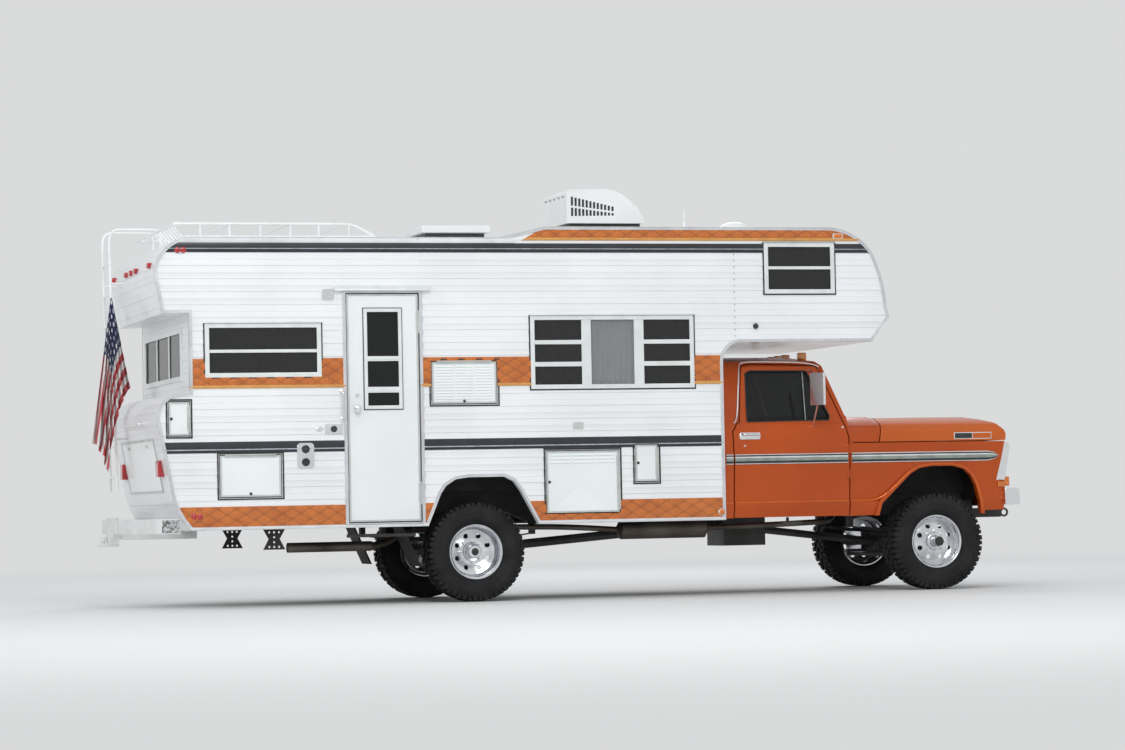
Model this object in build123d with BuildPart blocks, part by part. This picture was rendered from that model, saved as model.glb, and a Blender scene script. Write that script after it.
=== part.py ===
from build123d import *
import os
from math import cos, hypot, pi, sin

os.makedirs("parts", exist_ok=True)

# A one-ton four-wheel-drive pickup cab and chassis with a camper body built onto its frame.
# X runs forward from the rear axle, Y to the driver's side, Z up from the ground, all in millimetres.

# Chassis
wheelbase = 4038.6
track = 1726
rail_y = 430            # centre plane to the outer face of a frame rail
rail_width = 70
rail_wall = 8
rail_bottom = 640
rail_top = 820
rail_rear = -2320
rail_front = 4600
spring_y = 385
axle_radius = 48

# Tyres and wheels
tyre_reach = 406.6      # axle height over the flat of the bottom lug
tyre_width = 316
lug_height = 17
lug_count = 16
rim_radius = 205
rim_flange = 224
rim_half_width = 116
rim_wall = 12
rim_lip = 6
dish = 30               # how far the disc's rim stands back from its flat
disc_flat = 108
disc_thick = 10
wheel_sides = 16
hub_sides = 10
case_sides = 10
hand_hole_radius = 22
hand_hole_circle = 128
hand_holes = 8

# Camper body
camper_half = 1121
wall = 40
camper_bottom = 625
camper_front = 2107
recess_x = -2370        # the rear wall between the upper cap and the lower bulge
roof_z = 2970
raised_z = 3060
raised_start = 200
raised_end = 590
nose_start = 3083
nose_chin_z = 2100
floor_z = 905
floor_thick = 40
skirt_y = 620           # inner wall of the lockers beside the frame
well_front = 540
well_rear = -480
well_top = 1060

# Cab
cab_rear = 2150
cab_half = 1012
cab_wall = 45
cab_bottom = 636
cab_floor = 872
cab_firewall = 3330
cowl_front = 3525
fender_top = 1250
hood_top = 1476
hood_front = 4686
door_gap = 10
door_front = 3253
hood_gap = 8

# Clearances and small stock
panel_gap = 8
seat_gap = 0.3
pane = 6
hinge_radius = 7
hinge_leaf = 3
leaf_reach = 24
pin_radius = 3
past_sides = 1200       # beyond both sides of the vehicle
window_lap = 20         # how far a window's frame laps the wall's edge
frame_stand = 14
frame_width = 36
lamp_stand = 16

front_axle_x = wheelbase
wheel_y = track / 2
axle_z = tyre_reach

nodes = {}


def keep(name, piece):
    nodes[name] = piece


def keep_apart(name, pieces):
    """Stores bolted or welded pieces as solids of their own that meet face to face."""
    seated = []
    for piece in pieces:
        for solid in piece.solids():
            for earlier in seated:
                if solid.bounding_box().overlaps(earlier.bounding_box()):
                    left = solid - earlier
                    solid = max(left.solids(), key=lambda part: part.volume)
            seated.append(solid)
    nodes[name] = Compound(seated)


def block(x0, x1, y0, y1, z0, z1):
    """A box between two corners, joined to the part in hand."""
    with Locations(((x0 + x1) / 2, (y0 + y1) / 2, (z0 + z1) / 2)):
        Box(abs(x1 - x0), abs(y1 - y0), abs(z1 - z0))


def cut(x0, x1, y0, y1, z0, z1):
    """A box between two corners, cut from the part in hand."""
    with Locations(((x0 + x1) / 2, (y0 + y1) / 2, (z0 + z1) / 2)):
        Box(abs(x1 - x0), abs(y1 - y0), abs(z1 - z0), mode=Mode.SUBTRACT)


def rod(start, end, radius, sides=8):
    """A bar between two points, round enough for its size: its corners lie on the given radius."""
    start, end = Vector(*start), Vector(*end)
    run = end - start
    with BuildSketch(Plane(origin=start, z_dir=run)) as end_face:
        RegularPolygon(radius, sides)
    extrude(end_face.sketch, amount=run.length)


def bore(start, end, radius, sides=8):
    """A hole between two points that clears a pin of the given radius."""
    start, end = Vector(*start), Vector(*end)
    run = end - start
    with BuildSketch(Plane(origin=start, z_dir=run)) as end_face:
        RegularPolygon(radius, sides, major_radius=False)
    extrude(end_face.sketch, amount=run.length, mode=Mode.SUBTRACT)


def stack(pairs, sides, mode=Mode.ADD, x=0.0, z=0.0):
    """A faceted round body about an axis along Y, with flat faces between each two (along, radius) pairs."""
    turns = [2 * pi * n / sides for n in range(sides)]
    rings = [[(x + radius * cos(turn), along, z + radius * sin(turn)) for turn in turns]
             for along, radius in pairs]
    faces = [Face(Wire.make_polygon(rings[0])), Face(Wire.make_polygon(rings[-1]))]
    for here, there in zip(rings, rings[1:]):
        for n in range(sides):
            faces.append(Face(Wire.make_polygon((here[n - 1], here[n], there[n], there[n - 1]))))
    add(Solid(Shell(faces)), mode=mode)


def side_prism(points, y0, y1, mode=Mode.ADD, grow=0.0):
    """A prism with an outline in X and Z that runs across the vehicle."""
    with BuildSketch(Plane.XZ.offset(-y0)) as outline:
        with BuildLine():
            Polyline(*points, close=True)
        make_face()
        if grow:
            offset(amount=grow, kind=Kind.INTERSECTION)
    extrude(outline.sketch, amount=-(y1 - y0), mode=mode)


# Tyres: a carcass turned in one piece, with two staggered rings of lugs out to the tread's edge
def lug_ring(y0, y1, turn):
    """One half of the tread: an outline of lugs and grooves, as wide as the half."""
    pitch = 2 * pi / lug_count
    tip_half = pitch * 0.24
    foot_half = pitch * 0.31
    tip = tyre_reach / cos(tip_half)
    foot = tyre_reach - lug_height
    corners = []
    for n in range(lug_count):
        middle = pitch * (n + turn) - pi / 2
        for angle, radius in ((-foot_half, foot), (-tip_half, tip), (tip_half, tip), (foot_half, foot)):
            corners.append((radius * cos(middle + angle), radius * sin(middle + angle)))
    with BuildSketch(Plane.XZ.offset(-y0)) as outline:
        with BuildLine():
            Polyline(*corners, close=True)
        make_face()
    extrude(outline.sketch, amount=-(y1 - y0))


tread_half = tyre_width / 2 - 22


with BuildPart() as tyre:
    lug_ring(0, tread_half, 0)
    lug_ring(-tread_half, 0, 0.5)
    bead = rim_half_width - rim_lip
    carcass = [(bead, rim_flange), (tyre_width / 2 - 4, rim_flange + 31), (tyre_width / 2, rim_flange + 96),
               (tread_half + 10, tyre_reach - 30), (tread_half - 4, tyre_reach - lug_height - 4)]
    stack(carcass + [(-along, radius) for along, radius in reversed(carcass)], wheel_sides)
    stack([(-tyre_width, rim_radius), (tyre_width, rim_radius)], wheel_sides, mode=Mode.SUBTRACT)
    for side in (1, -1):
        stack([(side * bead, rim_flange), (side * tyre_width, rim_flange)], wheel_sides, mode=Mode.SUBTRACT)


# Wheels: a rolled rim and a dished disc with eight hand holes and a hub; outboard is +Y
def wheel(disc_out, hub_out, hub_radius):
    """A rim whose disc stands disc_out outboard of the wheel's middle plane."""
    inner = rim_radius - rim_wall
    root = disc_out - dish if disc_out > 0 else disc_out + dish
    with BuildPart() as rim:
        stack([(-rim_half_width, rim_flange), (-bead, rim_flange)], wheel_sides)
        stack([(-rim_half_width, rim_radius), (rim_half_width, rim_radius)], wheel_sides)
        stack([(bead, rim_flange), (rim_half_width, rim_flange)], wheel_sides)
        stack([(-rim_half_width, inner), (rim_half_width, inner)], wheel_sides, mode=Mode.SUBTRACT)
    with BuildPart() as disc:
        stack([(root, inner + 2), (disc_out, disc_flat)], wheel_sides)
        stack([(root - disc_thick, inner + 2), (disc_out - disc_thick, disc_flat)], wheel_sides,
              mode=Mode.SUBTRACT)
        with BuildSketch(Plane.XZ.offset(-rim_half_width)) as holes:
            with PolarLocations(hand_hole_circle, hand_holes):
                RegularPolygon(hand_hole_radius, 6)
        extrude(holes.sketch, amount=2 * rim_half_width, mode=Mode.SUBTRACT)
        stack([(disc_out - disc_thick, disc_flat), (disc_out, disc_flat)], wheel_sides)
        stack([(disc_out, 76), (disc_out + 22, 72), (disc_out + 22, hub_radius), (hub_out - 8, hub_radius),
               (hub_out, hub_radius - 8)], hub_sides)
    with BuildPart() as whole:
        add(rim.part)
        add(disc.part)
    return whole


front_disc_out = 58
rear_disc_out = -28
front_wheel = wheel(front_disc_out, 176, 46)
rear_wheel = wheel(rear_disc_out, 84, 60)

for end, x, rim in (("front", front_axle_x, front_wheel), ("rear", 0, rear_wheel)):
    for side, sign in (("left", 1), ("right", -1)):
        place = Location((x, sign * wheel_y, axle_z), (0, 0, 0 if sign > 0 else 180))
        keep(f"tyre_{end}_{side}", tyre.part.moved(place))
        keep(f"wheel_{end}_{side}", rim.part.moved(place))


# Frame: two channel rails, arched over the rear axle, with cross-members and body outriggers
rail_line = [(rail_rear, rail_bottom), (-600, rail_bottom), (-400, rail_bottom + 90), (400, rail_bottom + 90),
             (600, rail_bottom), (rail_front, rail_bottom), (rail_front, rail_top), (600, rail_top),
             (400, rail_top + 60), (-400, rail_top + 60), (-600, rail_top), (rail_rear, rail_top)]
runner_line = [(rail_rear, rail_top), (-600, rail_top), (-400, rail_top + 60), (400, rail_top + 60),
               (600, rail_top), (2060, rail_top), (2060, floor_z), (rail_rear, floor_z)]
cross_x = (-2280, -1500, -700, 760, 1700, 2330, 3500, 4560)
outrigger_x = (-1900, -1200, 1100, 1800)
frame_pieces = []
for sign in (1, -1):
    with BuildPart() as rail:
        edge = sign * rail_y
        side_prism(rail_line, min(edge, edge - sign * rail_width), max(edge, edge - sign * rail_width))
        inner = sign * (rail_y - rail_wall)
        far = sign * (rail_y - rail_width - 1)
        side_prism(rail_line, min(inner, far), max(inner, far), mode=Mode.SUBTRACT, grow=-rail_wall)
    with BuildPart() as runner:
        side_prism(runner_line, min(edge, edge - sign * rail_width), max(edge, edge - sign * rail_width))
    frame_pieces += [rail.part, runner.part]
    for x in outrigger_x:
        with BuildPart() as outrigger:
            block(x - 25, x + 25, sign * rail_y, sign * (skirt_y - seat_gap), rail_top - 70, rail_top - 20)
        frame_pieces.append(outrigger.part)
for x in cross_x:
    with BuildPart() as cross_member:
        block(x - 30, x + 30, -rail_y + rail_wall, rail_y - rail_wall, rail_bottom + 30, rail_top - 30)
    frame_pieces.append(cross_member.part)
keep_apart("chassis_frame", frame_pieces)

# Axles: a tube with a round differential case; the front one ends at the steering swivels
swivel_y = 620
swivel_radius = 50
swivel_half = 65
pumpkin_y = 170
nose_reach = 235
rear_hub_face = wheel_y + rear_disc_out - disc_thick - seat_gap
front_hub_face = wheel_y + front_disc_out - disc_thick - seat_gap


def differential(x, y, radius):
    """The round case in the middle of an axle, as a faceted ball: shares of its radius along and out."""
    waist = [(-0.9, 0.42), (-0.5, 0.85), (0.0, 1.0), (0.5, 0.85), (0.9, 0.42)]
    stack([(y + along * radius, out * radius) for along, out in waist], case_sides, x=x, z=axle_z)


with BuildPart() as rear_axle:
    rod((0, -rear_hub_face, axle_z), (0, rear_hub_face, axle_z), axle_radius)
    differential(0, 0, 165)
    rod((100, 0, axle_z + 12), (nose_reach, 0, axle_z + 12), 45)
    for sign in (1, -1):
        block(-60, 60, sign * spring_y - 40, sign * spring_y + 40, axle_z + 30, axle_z + 75)
with BuildPart() as front_axle:
    rod((front_axle_x, -swivel_y, axle_z), (front_axle_x, swivel_y, axle_z), axle_radius)
    differential(front_axle_x, pumpkin_y, 150)
    rod((front_axle_x - 90, pumpkin_y, axle_z + 10), (front_axle_x - nose_reach, pumpkin_y, axle_z + 10), 42)
    for sign in (1, -1):
        block(front_axle_x - 60, front_axle_x + 60, sign * spring_y - 40, sign * spring_y + 40,
              axle_z + 30, axle_z + 75)
        rod((front_axle_x, sign * swivel_y, axle_z - swivel_half),
            (front_axle_x, sign * swivel_y, axle_z + swivel_half),
            swivel_radius, 16)
keep("rear_axle", rear_axle.part)
keep("front_axle", front_axle.part)

# Leaf springs: packs of leaves clamped to each axle, with an eye and a hanger at each end
leaf_thick = 10
leaf_width = 64
leaf_bow = 60


def leaf_line(x, low, reach, half_length):
    """The under side of one leaf: straight runs between the knees of its bow."""
    knee = half_length / 2
    line = []
    for station in (-reach, -knee, 0, knee, reach):
        out = abs(station)
        rise = leaf_bow / 4 * out / knee if out <= knee else leaf_bow * (3 * out / knee - 2) / 4
        if out <= reach:
            line.append((x + station, low + rise))
    return line


with BuildPart() as leaf_springs:
    # axle station, half length, seat height
    for x, half_length, seat in ((0, 640, axle_z + 75), (front_axle_x, 560, axle_z + 75)):
        for sign in (1, -1):
            y0 = sign * spring_y - leaf_width / 2
            for leaf in range(4):
                under = leaf_line(x, seat + leaf_thick * leaf, half_length - 110 * leaf, half_length)
                over = [(px, pz + leaf_thick) for px, pz in reversed(under)]
                side_prism(under + over, y0, y0 + leaf_width)
            for tip in (-1, 1):
                eye_x = x + tip * half_length
                block(eye_x - 22, eye_x + 22, y0, y0 + leaf_width, seat + 56, rail_bottom)
keep("leaf_springs", leaf_springs.part)

# Engine, gearbox and transfer case as plain blocks, with the two propeller shafts
engine_rear = cab_firewall + 70
engine_front = engine_rear + 780
engine_half, engine_top = 260, 1180
transfer_front = engine_rear - 620
transfer_rear = transfer_front - 380
transfer_low = 400
with BuildPart() as powertrain:
    block(engine_rear, engine_front, -engine_half, engine_half, rail_top - 30, engine_top)
    block(transfer_front, engine_rear, -150, 150, 650, rail_top - 5)
    block(transfer_rear, transfer_front, -180, 260, transfer_low, rail_top - 40)
    rod((transfer_rear, 0, 590), (nose_reach, 0, axle_z + 12), 38)
    rod((transfer_front, pumpkin_y, 540), (front_axle_x - nose_reach, pumpkin_y, axle_z + 10), 32)
    add(rear_axle.part, mode=Mode.SUBTRACT)
    add(front_axle.part, mode=Mode.SUBTRACT)
keep("powertrain", powertrain.part)

# Exhaust: down from the engine, back past the gearbox, over the rear axle and out below the side
pipe_y = -500
pipe_radius = 27
tail_radius = 43
muffler_rear, muffler_front, muffler_radius = 1350, 2150, 85
pipe_low = 560
tail_start, tail_end = (-760, -622, 470), (-1504, -640, 470)
pipe_runs = [
    [(engine_rear + 40, -240, 800), (engine_rear - 60, -310, 596), (engine_rear - 200, pipe_y, 590),
     (transfer_front + 20, pipe_y, 575), (muffler_front - 20, pipe_y, pipe_low)],
    [(muffler_rear + 20, pipe_y, pipe_low), (800, pipe_y, 600), (-480, pipe_y, 600), (-640, -590, 490),
     (tail_start[0] - 20, tail_start[1], tail_start[2])],
]
with BuildPart() as exhaust:
    for run in pipe_runs:
        for start, end in zip(run, run[1:]):
            rod(start, end, pipe_radius)
    rod((muffler_front, pipe_y, pipe_low), (muffler_rear, pipe_y, pipe_low), muffler_radius)
    rod(tail_start, tail_end, tail_radius)
    add(powertrain.part, mode=Mode.SUBTRACT)
keep("exhaust", exhaust.part)


# Camper outline: flat rear roof, raised front roof, rounded nose over the cab and a recessed rear wall
def camper_outline():
    roof_rear = (recess_x - 3, roof_z)
    cap_back = (-2648, 2690)
    cap_low = (-2585, 2356)
    bulge_top = (-2468, 1722)
    bulge_back = (-2638, 1520)
    bulge_low = (-2527, 918)
    nose_brow = (3449, 2853)
    nose_cheek = (3570, 2400)
    nose_tip = (3595, 2305)
    chin = (3434, nose_chin_z)
    arch_top = (2266, nose_chin_z)
    arch_foot = (camper_front, nose_chin_z - 160)
    Polyline(roof_rear, (raised_start, roof_z), (raised_end, raised_z), (nose_start, raised_z))
    ThreePointArc((nose_start, raised_z), (3292, 2995), nose_brow)
    ThreePointArc(nose_brow, (3530, 2640), nose_cheek)
    Polyline(nose_cheek, nose_tip, chin, arch_top)
    ThreePointArc(arch_top, (camper_front + 47, nose_chin_z - 47), arch_foot)
    Polyline(arch_foot, (camper_front, camper_bottom), (recess_x, camper_bottom))
    ThreePointArc((recess_x, camper_bottom), (-2485, 790), bulge_low)
    Line(bulge_low, bulge_back)
    ThreePointArc(bulge_back, (-2597, 1646), bulge_top)
    Polyline(bulge_top, (recess_x, 1731), (recess_x, 2360), cap_low, cap_back)
    ThreePointArc(cap_back, (-2588, 2838), roof_rear)


# Wheel arch in the camper's side, from its rear foot to its front foot
arch_line = [(-438, camper_bottom - 10), (-325, 885), (-280, 950), (-200, 1000), (-90, 1015),
             (210, 1015), (290, 975), (345, 900), (499, camper_bottom - 10)]

# Openings in the camper's sides: name, rear, front, bottom, top, side (-1 right, 1 left)
windows = [
    ("rear_side", -2243, -1295, 1843, 2276, -1),
    ("main", 451, 1857, 1726, 2328, -1),
    ("overcab", 2488, 3112, 2504, 2931, -1),
    ("rear_side", -2243, -1295, 1843, 2276, 1),
    ("main", 451, 1857, 1726, 2328, 1),
    ("overcab", 2488, 3112, 2504, 2931, 1),
]
door_rear, door_fore, door_low, door_high = -1083, -490, 669, 2508
# Hatches: name, rear, front, bottom, top, edge with the hinge
hatches = [
    ("rear_hatch", -2540, -2375, 1385, 1650, "front"),
    ("locker_door", -2134, -1639, 888, 1220, "top"),
    ("fridge_vent_door", -382, 159, 1616, 1955, "top"),
    ("generator_door", 570, 1188, 711, 1216, "front"),
    ("forward_hatch", 1334, 1524, 959, 1260, "front"),
]
rear_window = (-800, 920, 1850, 2235)
rear_bars_y = (-230, 350)


def camper_side(sign):
    """One side wall, as thick as the real panel, with its windows, doors and arch cut."""
    outer = sign * camper_half
    inner = sign * (camper_half - wall)
    y0, y1 = min(outer, inner), max(outer, inner)
    with BuildPart() as side:
        with BuildSketch(Plane.XZ.offset(-y0)):
            with BuildLine():
                camper_outline()
            make_face()
        extrude(amount=-(y1 - y0))
        side_prism(arch_line, y0 - 1, y1 + 1, mode=Mode.SUBTRACT)
        for name, x0, x1, z0, z1, which in windows:
            if which == sign:
                cut(x0 + window_lap, x1 - window_lap, y0 - 1, y1 + 1, z0 + window_lap, z1 - window_lap)
        if sign < 0:
            cut(door_rear - panel_gap, door_fore + panel_gap, y0 - 1, y1 + 1,
                door_low - panel_gap, door_high + panel_gap)
            for name, x0, x1, z0, z1, edge in hatches:
                cut(x0 - panel_gap, x1 + panel_gap, y0 - 1, y1 + 1, z0 - panel_gap, z1 + panel_gap)
    return side


side_joint = door_fore + panel_gap
keep("camper_side_left", camper_side(1).part)
with BuildPart() as side_front:
    add(camper_side(-1).part)
    split(bisect_by=Plane.YZ.offset(side_joint), keep=Keep.TOP)
with BuildPart() as side_rear:
    add(camper_side(-1).part)
    split(bisect_by=Plane.YZ.offset(side_joint), keep=Keep.BOTTOM)
keep("camper_side_right", side_front.part)
keep("camper_side_rear", side_rear.part)

# The panels that run across between the sides are cut from one ring that follows the outline
span = camper_half - wall
with BuildPart() as ring:
    with BuildSketch(Plane.XZ.offset(-span)):
        with BuildLine():
            camper_outline()
        make_face()
    extrude(amount=2 * span)
with BuildPart() as ring_core:
    with BuildSketch(Plane.XZ.offset(-span - 1)):
        with BuildLine():
            camper_outline()
        make_face()
        offset(amount=-wall, kind=Kind.INTERSECTION)
    extrude(amount=2 * span + 2)
camper_bulk = ring.part
ring_shell = ring.part - ring_core.part


def ring_panel(regions, windows_cut=()):
    """The piece of the ring inside some boxes, each x0, x1, z0, z1."""
    with BuildPart() as panel:
        for x0, x1, z0, z1 in regions:
            block(x0, x1, -span, span, z0, z1)
        add(ring_shell, mode=Mode.INTERSECT)
        for x0, x1, y0, y1, z0, z1 in windows_cut:
            cut(x0, x1, y0, y1, z0, z1)
    return panel


roof_split = recess_x + 60
keep("camper_roof", ring_panel([(roof_split, nose_start, 2800, 3200)]).part)
keep("camper_nose", ring_panel([(nose_start, 3700, 2000, 3200), (2266, nose_start, 2000, 2300)]).part)
keep("camper_front_wall", ring_panel(
    [(camper_front - wall, 2266, camper_bottom, 2300)],
    [(camper_front - 80, camper_front + 10, -skirt_y, skirt_y, camper_bottom - 10, floor_z)]).part)
rear_y0, rear_y1, rear_z0, rear_z1 = rear_window
keep("camper_rear_wall", ring_panel(
    [(-2700, roof_split, camper_bottom - 5, 3200)],
    [(recess_x - 50, recess_x + 80, rear_y0, rear_y1, rear_z0, rear_z1),
     (recess_x + wall - 1, roof_split + 1, -skirt_y, skirt_y, camper_bottom - 6, floor_z)]).part)

# Floor: a slab over the frame, pans for the lockers beside it, and boxes over the rear wheels
floor_rear = roof_split
floor_front = camper_front - wall
plate = 20
strip_y = skirt_y - 60          # where the floor's middle meets its side strips
floor_top = floor_z + floor_thick
floor_plates = [(floor_rear, floor_front, -strip_y, strip_y, floor_z, floor_top)]
for sign in (1, -1):
    floor_plates.append((well_front, floor_front, sign * strip_y, sign * span, floor_z, floor_top))
    for x0, x1 in ((floor_rear, well_rear), (well_front, floor_front)):
        inner_y, shelf_y, outer_y = sign * skirt_y, sign * (skirt_y + plate), sign * span
        floor_plates.append((x0, x1, inner_y, shelf_y, camper_bottom, floor_z))
        floor_plates.append((x0, x1, shelf_y, outer_y, camper_bottom, camper_bottom + plate))
        floor_plates.append((x0, x0 + plate, shelf_y, outer_y, camper_bottom + plate, floor_z))
        floor_plates.append((x1 - plate, x1, shelf_y, outer_y, camper_bottom + plate, floor_z))
    floor_plates.append((well_rear, well_front, sign * strip_y, sign * span, well_top - plate, well_top))
    floor_plates.append((well_rear, well_front, sign * strip_y, sign * (strip_y + plate), floor_z,
                         well_top - plate))
    for x0, x1 in ((well_rear, well_rear + plate), (well_front - plate, well_front)):
        floor_plates.append((x0, x1, sign * (strip_y + plate), sign * span, floor_z, well_top - plate))
floor_plates.append((floor_rear, well_rear, strip_y, span, floor_z, floor_top))
floor_plates.append((floor_rear, door_rear, -strip_y, -span, floor_z, floor_top))
floor_plates.append((door_rear, well_rear, -strip_y, -skirt_y - plate, floor_z, floor_top))
floor_pieces = []
for corners in floor_plates:
    with BuildPart() as floor_plate:
        block(*corners)
    floor_pieces.append(floor_plate.part)
keep_apart("camper_floor", floor_pieces)


def pane_frame(sign, x0, x1, z0, z1, bars=()):
    """A window's outer frame on the camper's side, with its bars."""
    face = sign * camper_half
    out = sign * (camper_half + frame_stand)
    block(x0, x1, face, out, z0, z1)
    cut(x0 + frame_width, x1 - frame_width, sign * (camper_half - 1), sign * (camper_half + frame_stand + 1),
        z0 + frame_width, z1 - frame_width)
    for bx0, bx1, bz0, bz1 in bars:
        block(bx0, bx1, face, out - sign * 4, bz0, bz1)


# Bars of each window: rear, front, bottom, top
window_bars = {
    "rear_side": [(-2207, -1331, 2040, 2066)],
    "main": [(888, 969, 1762, 2292), (1339, 1423, 1762, 2292), (487, 888, 2092, 2127), (487, 888, 1910, 1948),
             (1423, 1821, 2092, 2127), (1423, 1821, 1910, 1948)],
    "overcab": [(2524, 3076, 2707, 2733)],
}
with BuildPart() as window_frames:
    for name, x0, x1, z0, z1, sign in windows:
        pane_frame(sign, x0, x1, z0, z1, window_bars[name])
    block(recess_x - frame_stand, recess_x, rear_y0 - window_lap, rear_y1 + window_lap, rear_z0 - window_lap,
          rear_z1 + window_lap)
    cut(recess_x - frame_stand - 1, recess_x + 1, rear_y0 + window_lap, rear_y1 - window_lap,
        rear_z0 + window_lap, rear_z1 - window_lap)
    for y in rear_bars_y:
        block(recess_x - 10, recess_x, y - 18, y + 18, rear_z0 + window_lap, rear_z1 - window_lap)
keep("window_frames", window_frames.part)
with BuildPart() as window_glass:
    for name, x0, x1, z0, z1, sign in windows:
        block(x0 + window_lap, x1 - window_lap, sign * (camper_half - 2 - pane), sign * (camper_half - 2),
              z0 + window_lap, z1 - window_lap)
    block(recess_x + 2, recess_x + 2 + pane, rear_y0, rear_y1, rear_z0, rear_z1)
keep("window_glass", window_glass.part)

# Curtains: one closed cloth solid behind each camper window
with BuildPart() as curtains:
    for name, x0, x1, z0, z1, sign in windows:
        cloth = camper_half - wall - seat_gap
        block(x0, x1, sign * (cloth - 26), sign * cloth, z0 - 5, z1 + 15)
keep("curtains", curtains.part)


# Hinges: the barrel runs just outside the skin, its leaf lies on the panel or on the wall
def hinge_barrel(edge, panel_box, moving):
    """Half of a surface hinge along one edge of a side panel: moving or fixed."""
    x0, x1, z0, z1 = panel_box
    y = -camper_half - hinge_radius
    gap = panel_gap / 2
    if edge == "front":
        axis_x = x1 + gap
        starts = (z0 + 150, z1 - 300) if z1 - z0 > 1000 else (z0 + 40,)
        length = 150 if z1 - z0 > 1000 else z1 - z0 - 80
        for z in starts:
            if moving:
                rod((axis_x, y, z), (axis_x, y, z + length), hinge_radius)
                block(axis_x - leaf_reach, axis_x, y + hinge_radius - hinge_leaf, y + hinge_radius,
                      z, z + length)
                bore((axis_x, y, z - 1), (axis_x, y, z + length + 1), pin_radius + seat_gap)
            else:
                rod((axis_x, y, z - 6), (axis_x, y, z + length + 6), pin_radius)
                for low, high in ((z - 18, z - seat_gap), (z + length + seat_gap, z + length + 18)):
                    rod((axis_x, y, low), (axis_x, y, high), hinge_radius)
                    block(axis_x, axis_x + leaf_reach, y + hinge_radius - hinge_leaf, y + hinge_radius,
                          low, high)
    else:
        axis_z = z1 + gap
        x, end = x0 + 40, x1 - 40
        if moving:
            rod((x, y, axis_z), (end, y, axis_z), hinge_radius)
            block(x, end, y + hinge_radius - hinge_leaf, y + hinge_radius, axis_z - leaf_reach, axis_z)
            bore((x - 1, y, axis_z), (end + 1, y, axis_z), pin_radius + seat_gap)
        else:
            rod((x - 6, y, axis_z), (end + 6, y, axis_z), pin_radius)
            for low, high in ((x - 18, x - seat_gap), (end + seat_gap, end + 18)):
                rod((low, y, axis_z), (high, y, axis_z), hinge_radius)
                block(low, high, y + hinge_radius - hinge_leaf, y + hinge_radius, axis_z, axis_z + leaf_reach)


hatch_thick = 24
for name, x0, x1, z0, z1, edge in hatches:
    with BuildPart() as hatch:
        block(x0, x1, -camper_half, -camper_half + hatch_thick, z0, z1)
        hinge_barrel(edge, (x0, x1, z0, z1), True)
        if name == "fridge_vent_door":
            for row in range(12):
                low = z0 + 20 + row * (z1 - z0 - 40) / 12
                block(x0 + 20, x1 - 20, -camper_half - 6, -camper_half, low, low + 12)
        if name == "generator_door":
            for row in range(3):
                low = z1 - 90 + row * 26
                block(x0 + 20, x1 - 20, -camper_half - 6, -camper_half, low, low + 12)
    keep(name, hatch.part)

# Entry door: one thick panel with a tall window, a knob and its hinges
door_window = (-930, -645, 1600, 2378)
with BuildPart() as entry_door:
    block(door_rear, door_fore, -camper_half, -camper_half + wall, door_low, door_high)
    wx0, wx1, wz0, wz1 = door_window
    cut(wx0, wx1, -camper_half - 1, -camper_half + wall + 1, wz0, wz1)
    block(wx0 - 14, wx1 + 14, -camper_half - 12, -camper_half, wz0 - 22, wz1 + 14)
    cut(wx0 + 14, wx1 - 14, -camper_half - 14, -camper_half + 1, wz0 + 14, wz1 - 30)
    for low, high in ((1965, 2005), (1710, 1757)):
        block(wx0, wx1, -camper_half - 10, -camper_half, low, high)
    rod((-1004, -camper_half, 1579), (-1004, -camper_half - 55, 1579), 24)
    hinge_barrel("front", (door_rear, door_fore, door_low, door_high), True)
with BuildPart() as entry_door_glass:
    block(wx0, wx1, -camper_half, -camper_half + pane, wz0, wz1)
keep("entry_door", entry_door.part)
keep("entry_door_glass", entry_door_glass.part)

# Camper trim: door frame, drip cap, gutter rails, hinge halves, handle and small fittings
face = -camper_half
outer_rear, outer_fore, outer_high = -1117, -448, 2532
hole_rear, hole_fore = door_rear - panel_gap, door_fore + panel_gap + 5
door_frame_bars = [(outer_rear, hole_rear, camper_bottom, outer_high),
                   (hole_fore, outer_fore, camper_bottom, outer_high),
                   (hole_rear, hole_fore, camper_bottom, door_low - panel_gap),
                   (hole_rear, hole_fore, door_high + panel_gap, outer_high)]
trim_pieces = []
for x0, x1, z0, z1 in door_frame_bars:
    with BuildPart() as door_frame_bar:
        block(x0, x1, face - 3, face, z0, z1)
    trim_pieces.append(door_frame_bar.part)
with BuildPart() as camper_trim:
    block(-1184, -391, face - 45, face, outer_high, outer_high + 42)
    block(-1287, -1190, face - 30, face, 2470, 2550)
    for name, x0, x1, z0, z1, edge in hatches:
        hinge_barrel(edge, (x0, x1, z0, z1), False)
    hinge_barrel("front", (door_rear, door_fore, door_low, door_high), False)
    for sign in (1, -1):
        for x0, x1, z0, z1 in ((-2373, 360, roof_z - 50, roof_z),
                               (700, nose_start - 60, raised_z - 70, raised_z - 20)):
            block(x0, x1, sign * camper_half, sign * (camper_half + 10), z0, z1)
    rod((-1131, face, 1500), (-1131, face - 60, 1500), 10)
    rod((-1131, face, 1720), (-1131, face - 60, 1720), 10)
    rod((-1131, face - 55, 1485), (-1131, face - 55, 1735), 12)
keep_apart("camper_trim", trim_pieces + [camper_trim.part])

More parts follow.
